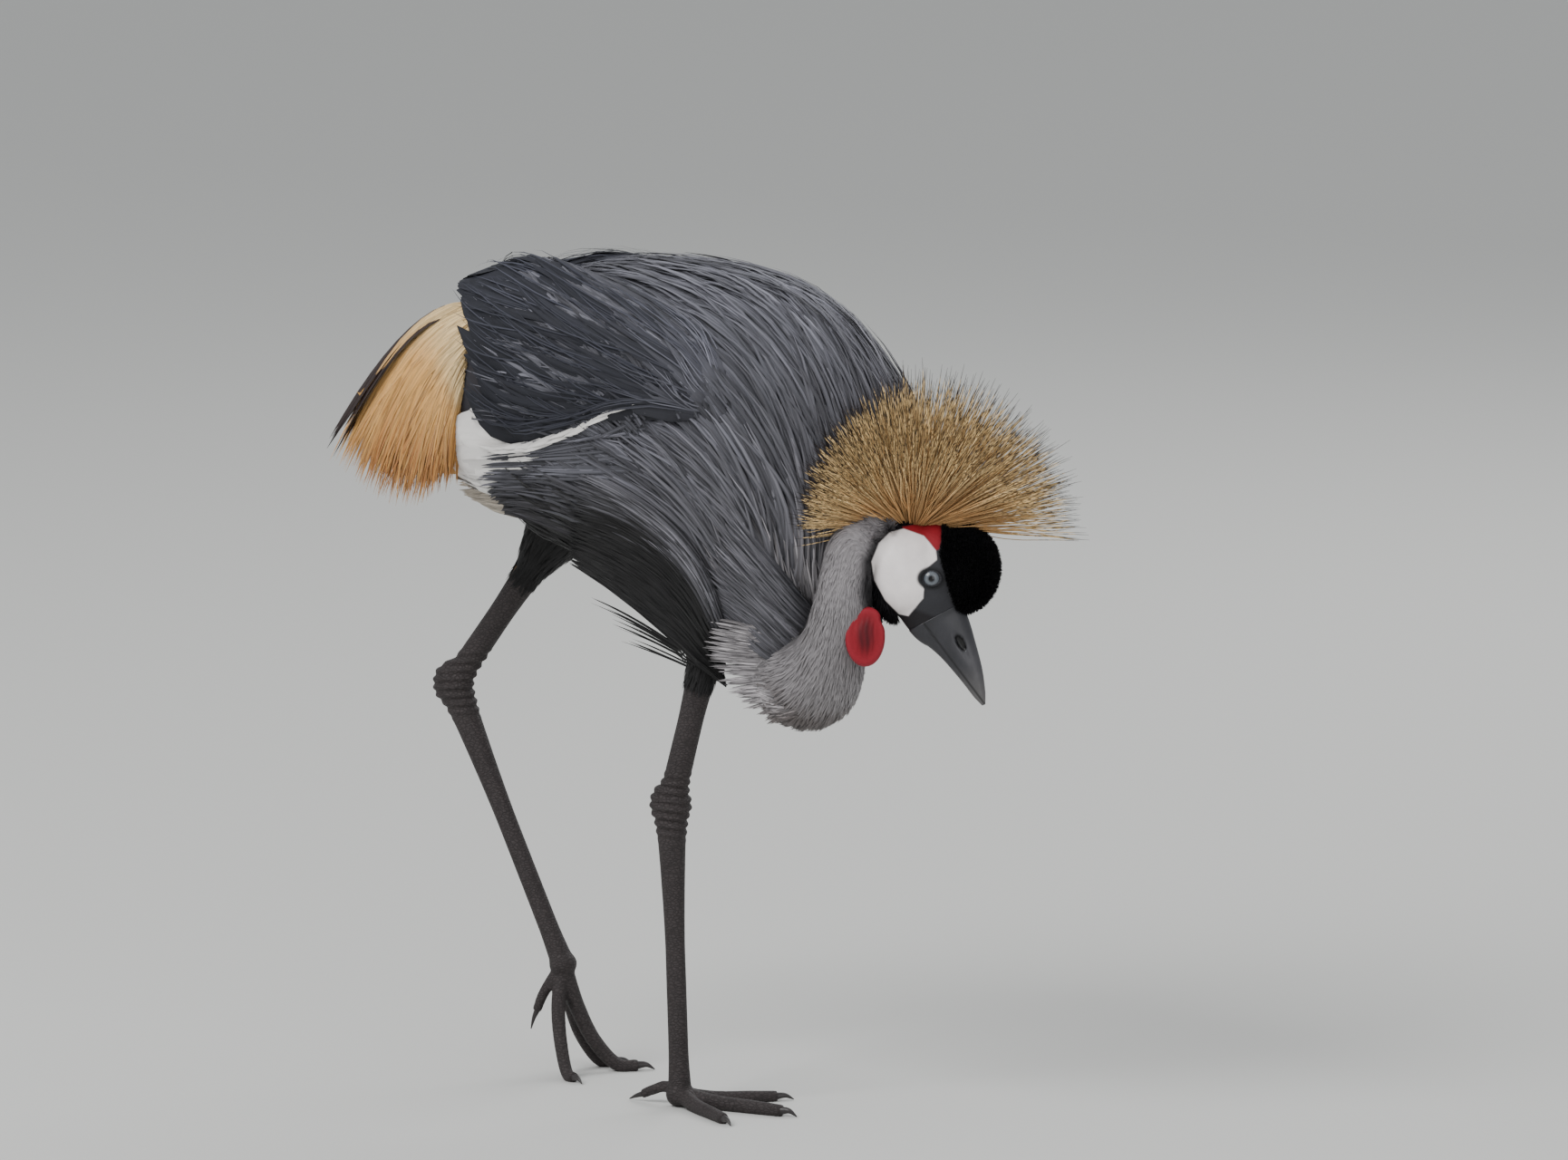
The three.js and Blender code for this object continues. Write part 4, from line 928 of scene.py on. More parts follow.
# Each kind with the least and the most of where its plumes start and how far they reach, its colours
# at the first and the last end of the lines, and where one passes into the other
# The apron's and the wisps' near-black is painted shade under the body
APRON = dict(lines=APRON_LINES, number=3000, rows=8, starts=(-0.12, 0.6), reach=(0.4, 0.6), depth=7,
             width=3.2, tints=(UNDERSIDE_SHADE, BREAST), passing=(0.62, 0.95), span=6.4)
WISPS = dict(lines=WISP_LINES, number=14, rows=9, starts=(-0.05, 0.2), reach=(0.7, 0.9), depth=2,
             width=1.6, tints=(UNDERSIDE_SHADE, UNDERSIDE_SHADE), passing=(0, 1), span=6.4)
# The flank plumes' dark grey end is painted shade
FLANK = dict(lines=FLANK_LINES, number=750, rows=7, starts=(-0.25, 0.4), reach=(0.5, 0.75), depth=8,
             width=3.2, tints=(SHADE_GREY * 0.7, MANTLE * 0.8), passing=(0.0, 0.6), span=2.2)
OVER_BREAST = dict(lines=BREAST_LINES, number=900, rows=7, starts=(-0.2, 0.3), reach=(0.4, 0.7), depth=7,
                   width=2.6, tints=(BREAST * 1.1, BREAST * 0.85), passing=(0.0, 1.0), span=6.8,
                   contrast=0.7)
OVER_VENT = dict(lines=VENT_LINES, number=320, rows=7, starts=(-0.2, 0.5), reach=(0.4, 0.6), depth=2,
                 width=3.2, tints=(VENT * 0.8, VENT), passing=(0.0, 1.0), span=1.0, contrast=0.3)


def swept_batch(mirror, lines, number, rows, starts, reach, depth, width, tints, passing, span,
                contrast=1.0):
    """Plumes along arcs through three lines, each over its own part of the way."""
    across = random.random(number)
    start = vary(starts[0], starts[1] - starts[0], number)
    end = np.minimum(start + reach[0] + (reach[1] - reach[0]) * random.random(number), 1.04)
    share = rows_between(start, end, rows)
    lean = across[:, None] + 0.04 * random.standard_normal((number, 1)) * np.linspace(0, 1, rows)
    places = swept(lines, lean, share)
    for _ in range(2):
        places = push_out(places, trunk, 4.0, 0.05, 0.56)
        places = clear_of_legs(places * mirror, 3.5) * mirror
    outs = np.broadcast_to(unit(V([-0.2, -0.95, -0.12])), places.shape)
    rise = profile([0, 0.4, 1], [-0.2, 0.8, 1], rows)
    places = places + outs * (depth * vary(0.3, 0.9, (number, 1)) * rise)[..., None]
    half = width * vary(0.6, 0.7, (number, 1)) * 0.5 * profile(*LANCE, rows)
    strip = strips(places * mirror, outs * mirror, half, 3, 0.3, 12 * random.standard_normal(number))
    ruffled = across + 0.08 * random.standard_normal(number)
    base = mix(*tints, smooth(*passing, ruffled))
    tone = 1 + (feather_tone(number, 0.5, 1.7) - 1) * contrast
    tint = along_tint(base, tone, rows, 3, 0.6, 1.2)
    return strip, tint, on_island("trunk", span / SPANS, (205 + 50 * across) * mirror[1])


def build_apron(material):
    right, left = V([1, 1, 1]), V([1, -1, 1])
    batches = [swept_batch(right, **APRON), swept_batch(right, **WISPS)]
    for mirror in (right, left):
        batches += [swept_batch(mirror, **kind) for kind in (FLANK, OVER_BREAST, OVER_VENT)]
    coat("plumage_apron", "plumage_grey", material, batches, "torso", "thigh_right")


# Long pale hackles fan out from the bend of the neck over the foot of the breast
FAN_ROOTS = V([[118, -62, 352], [110, -60, 338], [106, -58, 326], [114, -62, 308], [130, -66, 300]])
FAN_TIPS = V([[64, -71, 362], [58, -69, 346], [61, -66, 326], [76, -60, 301], [104, -55, 283]])
FAN_HACKLES, FAN_LOCKS = 1300, 15


def build_fan(material):
    number, rows = FAN_HACKLES, 8
    across = random.random(number)
    start = vary(-0.4, 0.7, number)
    end = np.minimum(start + 0.5 + 0.45 * random.random(number), vary(0.62, 0.46, number))
    uneven = across + 0.03 * np.sin(across * 23)
    lock = (np.floor(uneven * FAN_LOCKS) + 0.5) / FAN_LOCKS
    root = spline(FAN_ROOTS, across)[:, None]
    tip = spline(FAN_TIPS, across + 0.4 * (lock - across))[:, None]
    places = root + (tip - root) * rows_between(start, end, rows)[..., None]
    places = push_out(places, trunk, 1.5, 0.46, 0.76)
    outs = np.broadcast_to(unit(V([0.1, -1.0, -0.1])), places.shape)
    depth = vary(0.5, 3.5, (number, 1)) * profile([0, 0.4, 1], [-0.2, 0.6, 1], rows)
    places = places + outs * depth[..., None]
    half = vary(0.8, 0.7, (number, 1)) * profile(*LANCE, rows)
    strip = strips(places, outs, half, 3, 0.3, 14 * random.standard_normal(number))
    # The lower hackles darker, painted shade under the neck
    base = mix(NECK_GREY, NECK_SHADE, 0.75 * smooth(0.72, 1, across))
    tint = along_tint(base, feather_tone(number, 0.55, 1.6, 0.2), rows, 3, 0.65, 1.25)
    roots = on_island("trunk", 8.6 / SPANS, 230 + 60 * across)
    coat("hackles_fan", "plumage_pale", material, [(strip, tint, roots)], "neck_bend")


WING_HIDES_FROM, WING_HIDES_SPAN = 40, 3.1
BACK_WIDTH = 62                # degrees from the top to where the back's piece ends
TORSO_PLUMES, NECK_PLUMES = 20000, 30000
TORSO_END = 7.4 / SPANS
NECK_LOW_SPAN = 9.5            # where the lower piece of the neck's plumage ends


def build_plumage(material):
    t = scatter(TORSO_PLUMES, 0.02, TORSO_END)
    turn = random.random(TORSO_PLUMES) * 360
    away = away_from_top(turn)
    hidden = ~rooted_low(t, turn) & (away > WING_HIDES_FROM) & (span_of(t) < WING_HIDES_SPAN)
    t, turn, away = t[~hidden], turn[~hidden], away[~hidden]
    back = away < BACK_WIDTH
    for name, chosen in (("back", back), ("right", ~back & (turn > 180)), ("left", ~back & (turn <= 180))):
        coat(f"plumage_{name}", "plumage_grey", material,
             [trunk_batch(t[chosen], turn[chosen], 7, 3)], "torso", "wing_right", "wing_left")
    t = scatter(NECK_PLUMES, 6.8 / SPANS, 0.995)
    turn = random.random(NECK_PLUMES) * 360
    forward, _, up = to_head(trunk.surface(t, turn)[0]).T
    head = smooth(-70, -62, forward) * (up > -40)
    on_cheek = inside(CHEEK, forward, up) > np.interp(up, [-10, 10], [-2.5, -0.6])
    face = on_cheek | (forward > -20) | ((up < -14) & (forward > -44))
    feathered = ~(face & (head > 0.5))
    t, turn = t[feathered], turn[feathered]
    low = span_of(t) < NECK_LOW_SPAN
    coat("plumage_neck_low", "plumage_pale", material,
         [trunk_batch(t[low], turn[low], 6, 2)], "neck_base", "neck_bend")
    coat("plumage_neck_high", "plumage_pale", material,
         [trunk_batch(t[~low], turn[~low], 5, 2)], "neck_bend", "neck_upper", "head")
    build_apron(material)
    build_fan(material)


# Wings: slate vanes in a dome over a band of white coverts
# The dome's rear edge as t by turn, and its lower edge as turn by t
DOME_REAR = ([-60, -28, 0, 37, 95, 111, 118], [0.76, 0.735, 0.7, 0.645, 0.62, 0.56, 0.48])
DOME_LOW = ([0, 0.13, 0.23, 0.28, 0.37, 0.48, 0.56, 0.62], [50, 63, 94, 105, 116, 116, 110, 97])
# The line that the narrow band of white below the vanes follows, as turn by t
WHITE_EDGE = ([0.1, 0.2, 0.28, 0.37, 0.48, 0.56, 0.62], [78, 92, 105, 117, 121, 121, 116])
# How low the vanes' middles may lie, as turn by t
VANE_LOW = ([0, 0.2, 0.28, 0.37, 0.48, 0.56, 0.62], [104, 100, 104, 112, 113, 108, 96])
VANE_UNEVEN = 9
SCAPULARS, LONG_SCAPULARS, FINE_SCAPULARS = 460, 150, 240
COVERTS, EDGE_COVERTS = 150, 110
VANE_CAMBER = 0.16


def wing_batch(side, tip_t, tip_turn, length, width, base, tone, rows, columns, lift, shape,
               bend=-32.0, above_white=False, line=None):
    """Feathers of a wing whose tips are given; they rise in a slight curve towards the tips."""
    number = len(tip_t)
    drift = 14 + 5 * random.standard_normal((number, 1))
    bends = bend + 6 * random.standard_normal((number, 1))
    share = np.linspace(0, 1, rows)
    root_t = domes[side].before(tip_t, length)
    t = rows_between(root_t, tip_t, rows)
    turn = tip_turn[:, None] + drift * (share - 1) + bends * (share ** 2 - 1)
    lowest = np.interp(t, *VANE_LOW) - VANE_UNEVEN * random.random((number, 1))
    turn = np.minimum(turn, lowest if above_white else 180)
    if line:
        turn = np.interp(t, *line) + (tip_turn - np.interp(tip_t, *line))[:, None]
    rise = profile([0, 0.3, 0.8, 1], [-0.5, 0.5, 1, 0.85], rows)
    lifts = (lift * vary(0.6, 0.8, number))[:, None] * rise
    places, outs = domes[side].surface(t.ravel(), turn.ravel(), lifts.ravel())
    places, outs = places.reshape(number, rows, 3), outs.reshape(number, rows, 3)
    half = np.reshape(width, (-1, 1)) * 0.5 * profile(*shape, rows)
    strip = strips(places, outs, half, columns, VANE_CAMBER, 3 * random.standard_normal(number))
    tint = along_tint(base, tone, rows, columns, 0.8, 1.08, 0.8)
    return strip, tint, on_island(f"wing_{side}", root_t, tip_turn)


def dome_tips(number, low_t, high_t, low_turn):
    """Random places for tips on the dome, within its rear edge and its lower edge."""
    turn = vary(low_turn, DOME_REAR[0][-1] - low_turn, number)
    rear = np.interp(turn, *DOME_REAR)
    t = low_t + (np.minimum(high_t, rear) - low_t) * random.random(number)
    keep = turn < np.interp(t, *DOME_LOW)
    return t[keep], turn[keep]


def slate_tint(t, turn):
    """Darker slate at the back of the dome and greyer towards the shoulder; lighter on top and darker low
    on the side, which is painted light and shade.
    """
    return mix(MANTLE, SLATE, smooth(0.05, 0.42, t)) * (1.15 - 0.4 * smooth(-20, 90, turn))[:, None]


def build_wing(side, vane_material, white_material):
    t, turn = dome_tips(SCAPULARS, 0.1, 1.0, -62)
    number = len(t)
    length = np.interp(t, [0, 0.3, 0.7, 1], [50, 66, 78, 60]) * vary(0.85, 0.3, number)
    width = np.interp(t, [0, 0.3, 0.7], [13, 19, 26]) * vary(0.8, 0.4, number)
    broad = wing_batch(side, t, turn, length, width, slate_tint(t, turn), vary(0.9, 0.2, number),
                       9, 7, 3.4, LEAF, above_white=True)
    t, turn = dome_tips(LONG_SCAPULARS, 0.2, 0.66, -30)
    number = len(t)
    length, width, tone = vary(86, 36, number), vary(5.5, 2.5, number), vary(1.0, 0.3, number)
    slim = wing_batch(side, t, turn, length, width, slate_tint(t, turn), tone,
                      9, 7, 5.4, LANCE, above_white=True)
    t, turn = dome_tips(FINE_SCAPULARS, 0.15, 0.66, -50)
    number = len(t)
    length, tone = vary(70, 40, number), vary(1.7, 1.3, number)
    fine = wing_batch(side, t, turn, length, 1.2, slate_tint(t, turn), tone,
                      9, 3, 8.0, LANCE, above_white=True)
    coat(f"scapulars_{side}", "plumage_slate", vane_material, [broad, slim, fine], f"wing_{side}")
    turn = vary(106, 74, COVERTS)
    t = np.interp(turn, [106, 146, 180], [0.74, 0.86, 0.93]) - 0.3 * random.random(COVERTS)
    white = wing_batch(side, t, turn, 62.0, 24.0, WHITE_FEATHER, vary(0.96, 0.06, COVERTS),
                       8, 5, 0.8, ROUND, -8.0)
    t = np.linspace(0.26, 0.62, EDGE_COVERTS)
    turn = np.interp(t, *WHITE_EDGE) + 3 * random.random(EDGE_COVERTS) - 3
    edge = wing_batch(side, t, turn, 36.0, 4.0, WHITE_FEATHER, 1.0, 8, 3, 4.6, LANCE, line=WHITE_EDGE)
    coat(f"coverts_{side}", "plumage_pale", white_material, [white, edge], f"wing_{side}")


# Behind the wings: dark quills above, and long silky plumes that fall over them
# Each set of lines runs from the top of the plumes to the body, on the right of the bird
PLUME_LINES = [
    V([[-143, -56, 572], [-134, -74, 565], [-130, -84, 549], [-129, -86, 533], [-127, -86, 512]]),
    V([[-188, -60, 542], [-181, -74, 522], [-169, -80, 504], [-151, -84, 491], [-134, -86, 483]]),
    V([[-244, -56, 459], [-227, -64, 448], [-202, -70, 433], [-172, -74, 430], [-141, -78, 446]]),
]
QUILL_LINES = [
    V([[-153, -30, 565], [-149, -50, 569], [-140, -66, 566]]),
    V([[-204, -32, 537], [-198, -50, 540], [-186, -68, 536]]),
    V([[-259, -40, 459], [-256, -50, 461], [-242, -62, 452]]),
]
QUILL_COUNT, GOLD_STRANDS, TAIL_VANES = 11, 3400, 12


def build_quills(side, mirror, material):
    number, rows, columns = QUILL_COUNT, 12, 7
    order = np.linspace(0, 1, number)
    length = 1 - 0.13 * random.random(number)
    share = length[:, None] * np.linspace(-0.05, 1, rows)
    places = swept(QUILL_LINES, order[:, None], share) * mirror
    outs = np.broadcast_to(unit(V([-0.55, -0.3, 0.8]) * mirror), places.shape)
    half = 8.5 * profile([0, 0.3, 0.82, 0.94, 1], [0.6, 1, 0.9, 0.45, 0.03], rows)[None]
    strip = strips(places, outs, half, columns, 0.2, 8 * random.standard_normal(number))
    tint = along_tint(QUILL, np.linspace(1.15, 0.85, number), rows, columns, 1.25, 0.6, 0.8)
    roots = on_island(f"rear_{side}", 0.05, -20 + 80 * order)
    coat(f"quills_{side}", "plumage_black", material, [(strip, tint, roots)], f"wing_{side}")


def build_plumes(side, mirror, material):
    number, rows = GOLD_STRANDS, 8
    across = random.random(number)
    start = -0.14 + 0.5 * random.random(number) ** 2
    end = np.minimum(start + 0.62 + 0.4 * random.random(number), vary(0.8, 0.23, number))
    share = rows_between(start, end, rows)
    lean = across[:, None] + 0.06 * random.standard_normal((number, 1)) * np.linspace(-0.3, 1, rows)
    depth = -10 + 13 * random.random((number, 1)) ** 0.7
    out = unit(V([-0.15, -1, 0.25]) * mirror)
    places = swept(PLUME_LINES, lean, share) * mirror + depth[..., None] * out
    half = vary(0.6, 0.8, (number, 1)) * profile(*LANCE, rows)
    twist = 20 * random.standard_normal(number)
    strip = strips(places, np.broadcast_to(out, places.shape), half, 3, 0.3, twist)
    far = share * (0.45 + 0.75 * smooth(0.0, 0.5, across))[:, None]
    tint = mix(STRAW, GOLD, smooth(0.05, 0.4, far))
    tint = mix(tint, ORANGE, (smooth(0.45, 1.05, far) * random.random(number)[:, None]) ** 0.8)
    tint = tint * vary(0.74, 0.46, number)[:, None, None]
    roots = on_island(f"rear_{side}", start, 20 + 140 * across)
    coat(f"plumes_{side}", "crest_gold", material, [(strip, tint[:, :, None], roots)], f"wing_{side}")


def build_tail(material):
    number, rows, columns = TAIL_VANES, 8, 5
    across = np.linspace(-1, 1, number)
    start = np.stack([np.full(number, -128.0), across * 16, 482 - 3 * np.abs(across)], -1)
    end = np.stack([-236 + 16 * across ** 2, across * 26, 438 + 3 * (np.arange(number) % 2)], -1)
    share = np.linspace(0, 1, rows)[None, :, None]
    places = start[:, None] * (1 - share) + end[:, None] * share
    places[..., 2] += 6 * np.sin(math.pi * share[..., 0])
    outs = np.broadcast_to(V([0, 0, 1.0]), places.shape)
    strip = strips(places, outs, 8.5 * profile(*ROUND, rows)[None], columns, 0.15)
    tint = along_tint(TAIL_BLACK, 1.0, rows, columns)
    roots = on_island("tail", 0.5, 180 + 90 * across)
    coat("tail_vanes", "plumage_black", material, [(strip, tint, roots)], "tail")


THIGH_PLUMES = 1500


def build_thigh(side, material):
    number, rows = THIGH_PLUMES, 6
    t = random.random(number) * 0.96
    turn = random.random(number) * 360
    length = np.interp(t, [0, 0.6, 1], [46, 30, 17]) * vary(0.8, 0.4, number)
    depth = np.interp(t, [0, 1], [4, 1.6]) * vary(0.5, 1, number)
    lifts = depth[:, None] * profile([0, 0.4, 1], [-0.6, 0.7, 1], rows) - 2
    places, outs = trace(thighs[side], t, turn, length, rows, 1, 8 * random.standard_normal(number), lifts)
    half = np.interp(t, [0, 1], [2.6, 1.5])[:, None] * profile(*LANCE, rows)
    strip = strips(places, outs, half, 3, 0.3, 10 * random.standard_normal(number))
    # Near-black painted shade under the belly
    tint = along_tint(UNDERSIDE_SHADE, feather_tone(number), rows, 3)
    coat(f"thigh_plumage_{side}", "plumage_black", material,
         [(strip, tint, on_island(f"thigh_{side}", t, turn))], f"thigh_{side}")


# Crest
CREST_AT = V([-13.0, 0, 39.5])
CREST_PATCH, CREST_SUNK = V([16, 7, 5]), V([0, 0, 4.5])
BRISTLES = 2300
BRISTLE_REACH, SHORTER_BEHIND, SHORTER_AHEAD = 112, 44, 6
CREST_FLATNESS = 0.62
CREST_LOWEST = 95              # degrees from straight up to the lowest bristles
GOLDEN_TURN = 137.508          # degrees from one bristle to the next
BRISTLE_CLEARANCE = 11
CUT_STEP, CUT_MORE = 0.06, 0.08
SHORTEST_SHARE = 0.35
BRISTLE_THICKNESS = ([0, 0.5, 0.9, 1], [0.42, 0.36, 0.3, 0.08])


def inside_body(points, margin):
    """Whether points are inside the torso, grown by margin."""
    taken = np.zeros(len(points), bool)
    for t in np.linspace(0.1, TORSO_END, 30):
        place, along, side, up, reach = (field[0] for field in trunk.at(V([t])))
        off = points - place
        high = off @ up
        rise = np.where(high > 0, reach[0], reach[1]) + margin
        share = np.hypot(high / rise, (off @ side) / (reach[2] + margin))
        taken |= (np.abs(off @ along) < 12) & (share < 1)
    return taken


def clear_ways(root, aim, length):
    """Directions of bristles, bent aside where the body is in the way, and the share that is free."""
    best, clear = aim.copy(), np.zeros(len(aim))
    for bend in (0, 8, 16, 24, 32):
        way = unit(aim + V([0, 1, 0]) * math.tan(math.radians(bend)))
        free = np.ones(len(aim))
        for share in np.arange(1, 0.25, -CUT_STEP):
            along = from_head(root + way * (length * share)[:, None])
            free = np.where(inside_body(along, BRISTLE_CLEARANCE), share - CUT_MORE, free)
        better = free > clear + 0.2
        best = np.where(better[:, None], way, best)
        clear = np.where(better, free, clear)
    return best, clear


def build_crest(material):
    number, rows, columns = BRISTLES, 9, 4
    order = np.arange(number)
    polar = np.arccos(1 - (1 - math.cos(math.radians(CREST_LOWEST))) * (order + 0.5) / number)
    around = np.radians(GOLDEN_TURN * order + 14 * random.standard_normal(number))
    fore = np.sin(polar) * np.cos(around)
    sideways = np.sin(polar) * np.sin(around)
    aside = sideways * CREST_FLATNESS
    rise = np.cos(polar) + 0.5 * np.abs(sideways) ** 1.5
    aim = np.stack([fore, aside, rise], -1)
    root = CREST_AT + (aim * CREST_PATCH - CREST_SUNK)
    reach = BRISTLE_REACH - SHORTER_BEHIND * np.maximum(-fore, 0) - SHORTER_AHEAD * np.maximum(fore, 0)
    length = reach * np.hypot(np.hypot(fore, aside), np.cos(polar)) ** 0.6
    length = length * (0.76 + 0.25 * random.random(number) ** 0.6)
    aim = unit(aim + 0.05 * random.standard_normal(aim.shape))
    way, clear = clear_ways(root, aim, length)
    keep = clear > SHORTEST_SHARE
    root, way, length = root[keep], way[keep], (length * clear)[keep]
    number = len(root)
    share = np.linspace(0, 1, rows)
    curl = 2.6 * random.standard_normal((number, 3))
    wave = 0.8 * random.standard_normal((number, 3))
    line = root[:, None] + way[:, None] * (length[:, None] * share)[..., None]
    line = line + curl[:, None] * (share ** 3)[:, None] + wave[:, None] * np.sin(share * 9)[:, None]
    turn = np.linspace(0, 2 * math.pi, columns)[:, None]
    first = unit(np.cross(way, V([0.2, 1, 0.1])))[:, None]
    second = np.cross(way[:, None], first)
    ring = first * np.cos(turn) + second * np.sin(turn)
    thick = profile(*BRISTLE_THICKNESS, rows)[:, None, None]
    strip = from_head(line[:, :, None] + ring[:, None] * thick)
    tint = mix(BRISTLE_TAN, BRISTLE_STRAW, smooth(0.3, 0.85, share))
    tint = tint * (0.7 + 0.3 * smooth(0.0, 0.25, share))[:, None]
    tint = tint * vary(0.55, 0.75, (number, 1, 1))
    roots = on_island("head", 0.5 + way[:, 0] * 0.4, 180 + 90 * way[:, 1])
    coat("crest_bristles", "crest_gold", material, [(strip, tint[:, :, None], roots)], "crest")


# Velvet forehead and the short dark feathers round the face
PILE_PER_POINT = 3             # of the short feathers at the throat and the nape
PILE_HALF_WIDTH = 0.42


def across_out(way, out):
    """The part of each direction that lies along the skin."""
    return way - out * (way * out).sum(1, keepdims=True)


def pile_roots(points):
    """Numbers of the skin's points that carry pile, and which points are at the throat or nape."""
    forward, aside, up = to_head(points).T
    near = (points[:, 0] > 165) & (np.abs(aside) < 40) & (np.abs(up) < 60) & (forward > -60)
    cheek = inside(CHEEK, forward, up)
    velvet = near & (inside(VELVET, forward, up) > 0.6)
    crown = near & (up > 34) & (forward > -36) & (forward < 12) & (cheek < -0.6)
    crown = crown & (inside(RED_PATCH, forward, up) < -0.4)
    throat = near & (cheek < -0.8) & (forward > -50) & (forward < -25)
    throat = throat & (up > -40) & (up < np.interp(forward, [-38, -32], [-6, -16]))
    nape = near & (cheek < -0.8) & (up > 4) & (forward > -44) & (forward < -24)
    once = np.nonzero(velvet | (crown & ~nape))[0]
    return np.concatenate([once, np.repeat(np.nonzero(throat | nape)[0], PILE_PER_POINT)]), throat, nape


def build_velvet(skin, material):
    points = read_points(skin.data)
    chosen, throat, nape = pile_roots(points)
    root, out = points[chosen], read_normals(skin.data)[chosen]
    number, rows = len(chosen), 3

    def ruffled(way, amount):
        return unit(way + amount * random.standard_normal((number, 3)))

    hangs, behind = throat[chosen][:, None], nape[chosen][:, None]
    stand = ruffled(HEAD_UP * 0.6 - HEAD_FORWARD * 0.5, 0.5)
    fall = np.where(hangs, ruffled(-HEAD_UP - HEAD_FORWARD * 0.1, 0.25), stand)
    way = unit(out + np.where(hangs, 2.0, 0.55) * across_out(fall, out))
    way = np.where(hangs, unit(way + 0.8 * fall), way)
    back = ruffled(-HEAD_FORWARD - 0.5 * HEAD_UP, 0.2)
    way = np.where(behind, unit(0.5 * out + across_out(back, out)), way)
    length = vary(2.6, 1.6, (number, 1)) * np.where(hangs | behind, 2.2, 1)
    line = root[:, None] + way[:, None] * (length * np.linspace(0, 1, rows))[..., None]
    turned = unit(np.cross(way, random.standard_normal((number, 3))))[:, None]
    half = PILE_HALF_WIDTH * V([1, 0.8, 0.1])[:, None]
    strip = np.stack([line - turned * half, line + turned * half], 2)
    tone = vary(0.6, 1.1, (number, 1, 1, 1))
    tone = np.where(behind[..., None, None], 0.85 + 0.15 * tone, tone)
    line_forward, _, line_up = to_head(line.reshape(-1, 3)).T
    # The nape's pile darkens towards the cheek with painted shade
    grey = mix(NECK_GREY, SHADE_AND_THROAT_BLACK, face_shade(line_forward, line_up).reshape(number, rows))
    tint = np.where(behind[..., None], grey, VELVET_BLACK * 1.4)[:, :, None] * tone
    forward, aside, _ = to_head(root).T
    roots = on_island("head", smooth(-60, 60, forward), 180 + aside * 3)
    coat("velvet", "plumage_black", material, [(strip, tint, roots)], "head")


# Bill, eyes, lids, wattle and claws
NOSTRIL_AT = V([20.8, -45.4])
NOSTRIL_ALONG = V([0.5, -0.866])
NOSTRIL_ACROSS = V([0.866, 0.5])
NOSTRIL_REACH = V([6.4, 2.9])
NOSTRIL_DEPTH = 2.4
MOUTH_GAP = 0.03
HORN_LIFT = 0.35               # of the horn over the bill's solid
# Painted light and shade on the bill: a lit grey for the upper bill, and black for the shade in the
# nostril
HORN_LIT_UPPER, HORN_TIP, NOSTRIL_SHADE = linear(64, 63, 67), linear(92, 90, 90), linear(5, 5, 6)


def keep_half(obj, sign):
    """Cuts the bill along the mouth and keeps the half above (1) or below (-1), with a sharp rim."""
    normal = MOUTH_NORMAL @ HEAD_AXES
    place = (from_head(MOUTH_AT) + TO_FRAME + normal * sign * MOUTH_GAP / 2) * MM
    mesh = bmesh.new()
    mesh.from_mesh(obj.data)
    cut = bmesh.ops.bisect_plane(
        mesh, geom=mesh.verts[:] + mesh.edges[:] + mesh.faces[:], plane_co=place,
        plane_no=normal, clear_inner=sign > 0, clear_outer=sign < 0)
    rim = [edge for edge in cut["geom_cut"] if isinstance(edge, bmesh.types.BMEdge)]
    bmesh.ops.holes_fill(mesh, edges=rim)
    for edge in rim:
        edge.smooth = False
    mesh.to_mesh(obj.data)
    mesh.free()


def build_bill(material):
    points, faces = tube(bill, HORN_LIFT, 110, 88, BILL_START - 0.03)
    forward, aside, up = points.T
    height = (points - MOUTH_AT) @ MOUTH_NORMAL
    off = np.stack([forward, up], -1) - NOSTRIL_AT
    run, rise = off @ NOSTRIL_ALONG, off @ NOSTRIL_ACROSS
    slit = smooth(1.15, 0.7, np.hypot(run / NOSTRIL_REACH[0], rise / NOSTRIL_REACH[1]))
    slit = slit * (np.abs(aside) > 4)
    hollow = smooth(2.6, 0.4, np.abs(rise + 0.8)) * smooth(15, 5, np.abs(run - 3)) * 0.7
    groove = 0.4 * np.exp(-(height / 0.8) ** 2)
    sunk = np.minimum(np.abs(aside) * 0.8, NOSTRIL_DEPTH * slit + hollow + groove)
    shaped = points - np.stack([0 * sunk, np.sign(aside) * sunk, 0 * sunk], -1)
    # The upper bill lighter than the lower, painted light from above
    tint = mix(LORE_GREY, HORN_LIT_UPPER, smooth(34, 60, -up) * smooth(3, 10, height))
    tint = mix(tint, HORN_TIP, smooth(58, 86, -up) * 0.8)
    # Painted shade in the nostril's slit and along the mouth's groove
    tint = mix(tint, NOSTRIL_SHADE, smooth(0.0, 0.6, slit))
    tint = tint * (1 - 0.8 * np.exp(-(height / 0.7) ** 2))[:, None]
    for name, sign in (("upper", 1), ("lower", -1)):
        obj = add_mesh(f"bill_{name}_horn", from_head(shaped), faces)
        set_tint(obj.data, tint)
        keep_half(obj, sign)
        finish(obj, material, "bill_horn", f"bill_{name}")


LID_RING = 96                  # points round a lid
LID_ROLL = 16                  # points round its rolled rim
LID_ASIDE = 17.0
IRIS_MAP = 20                  # millimetres of the eyeball across its map


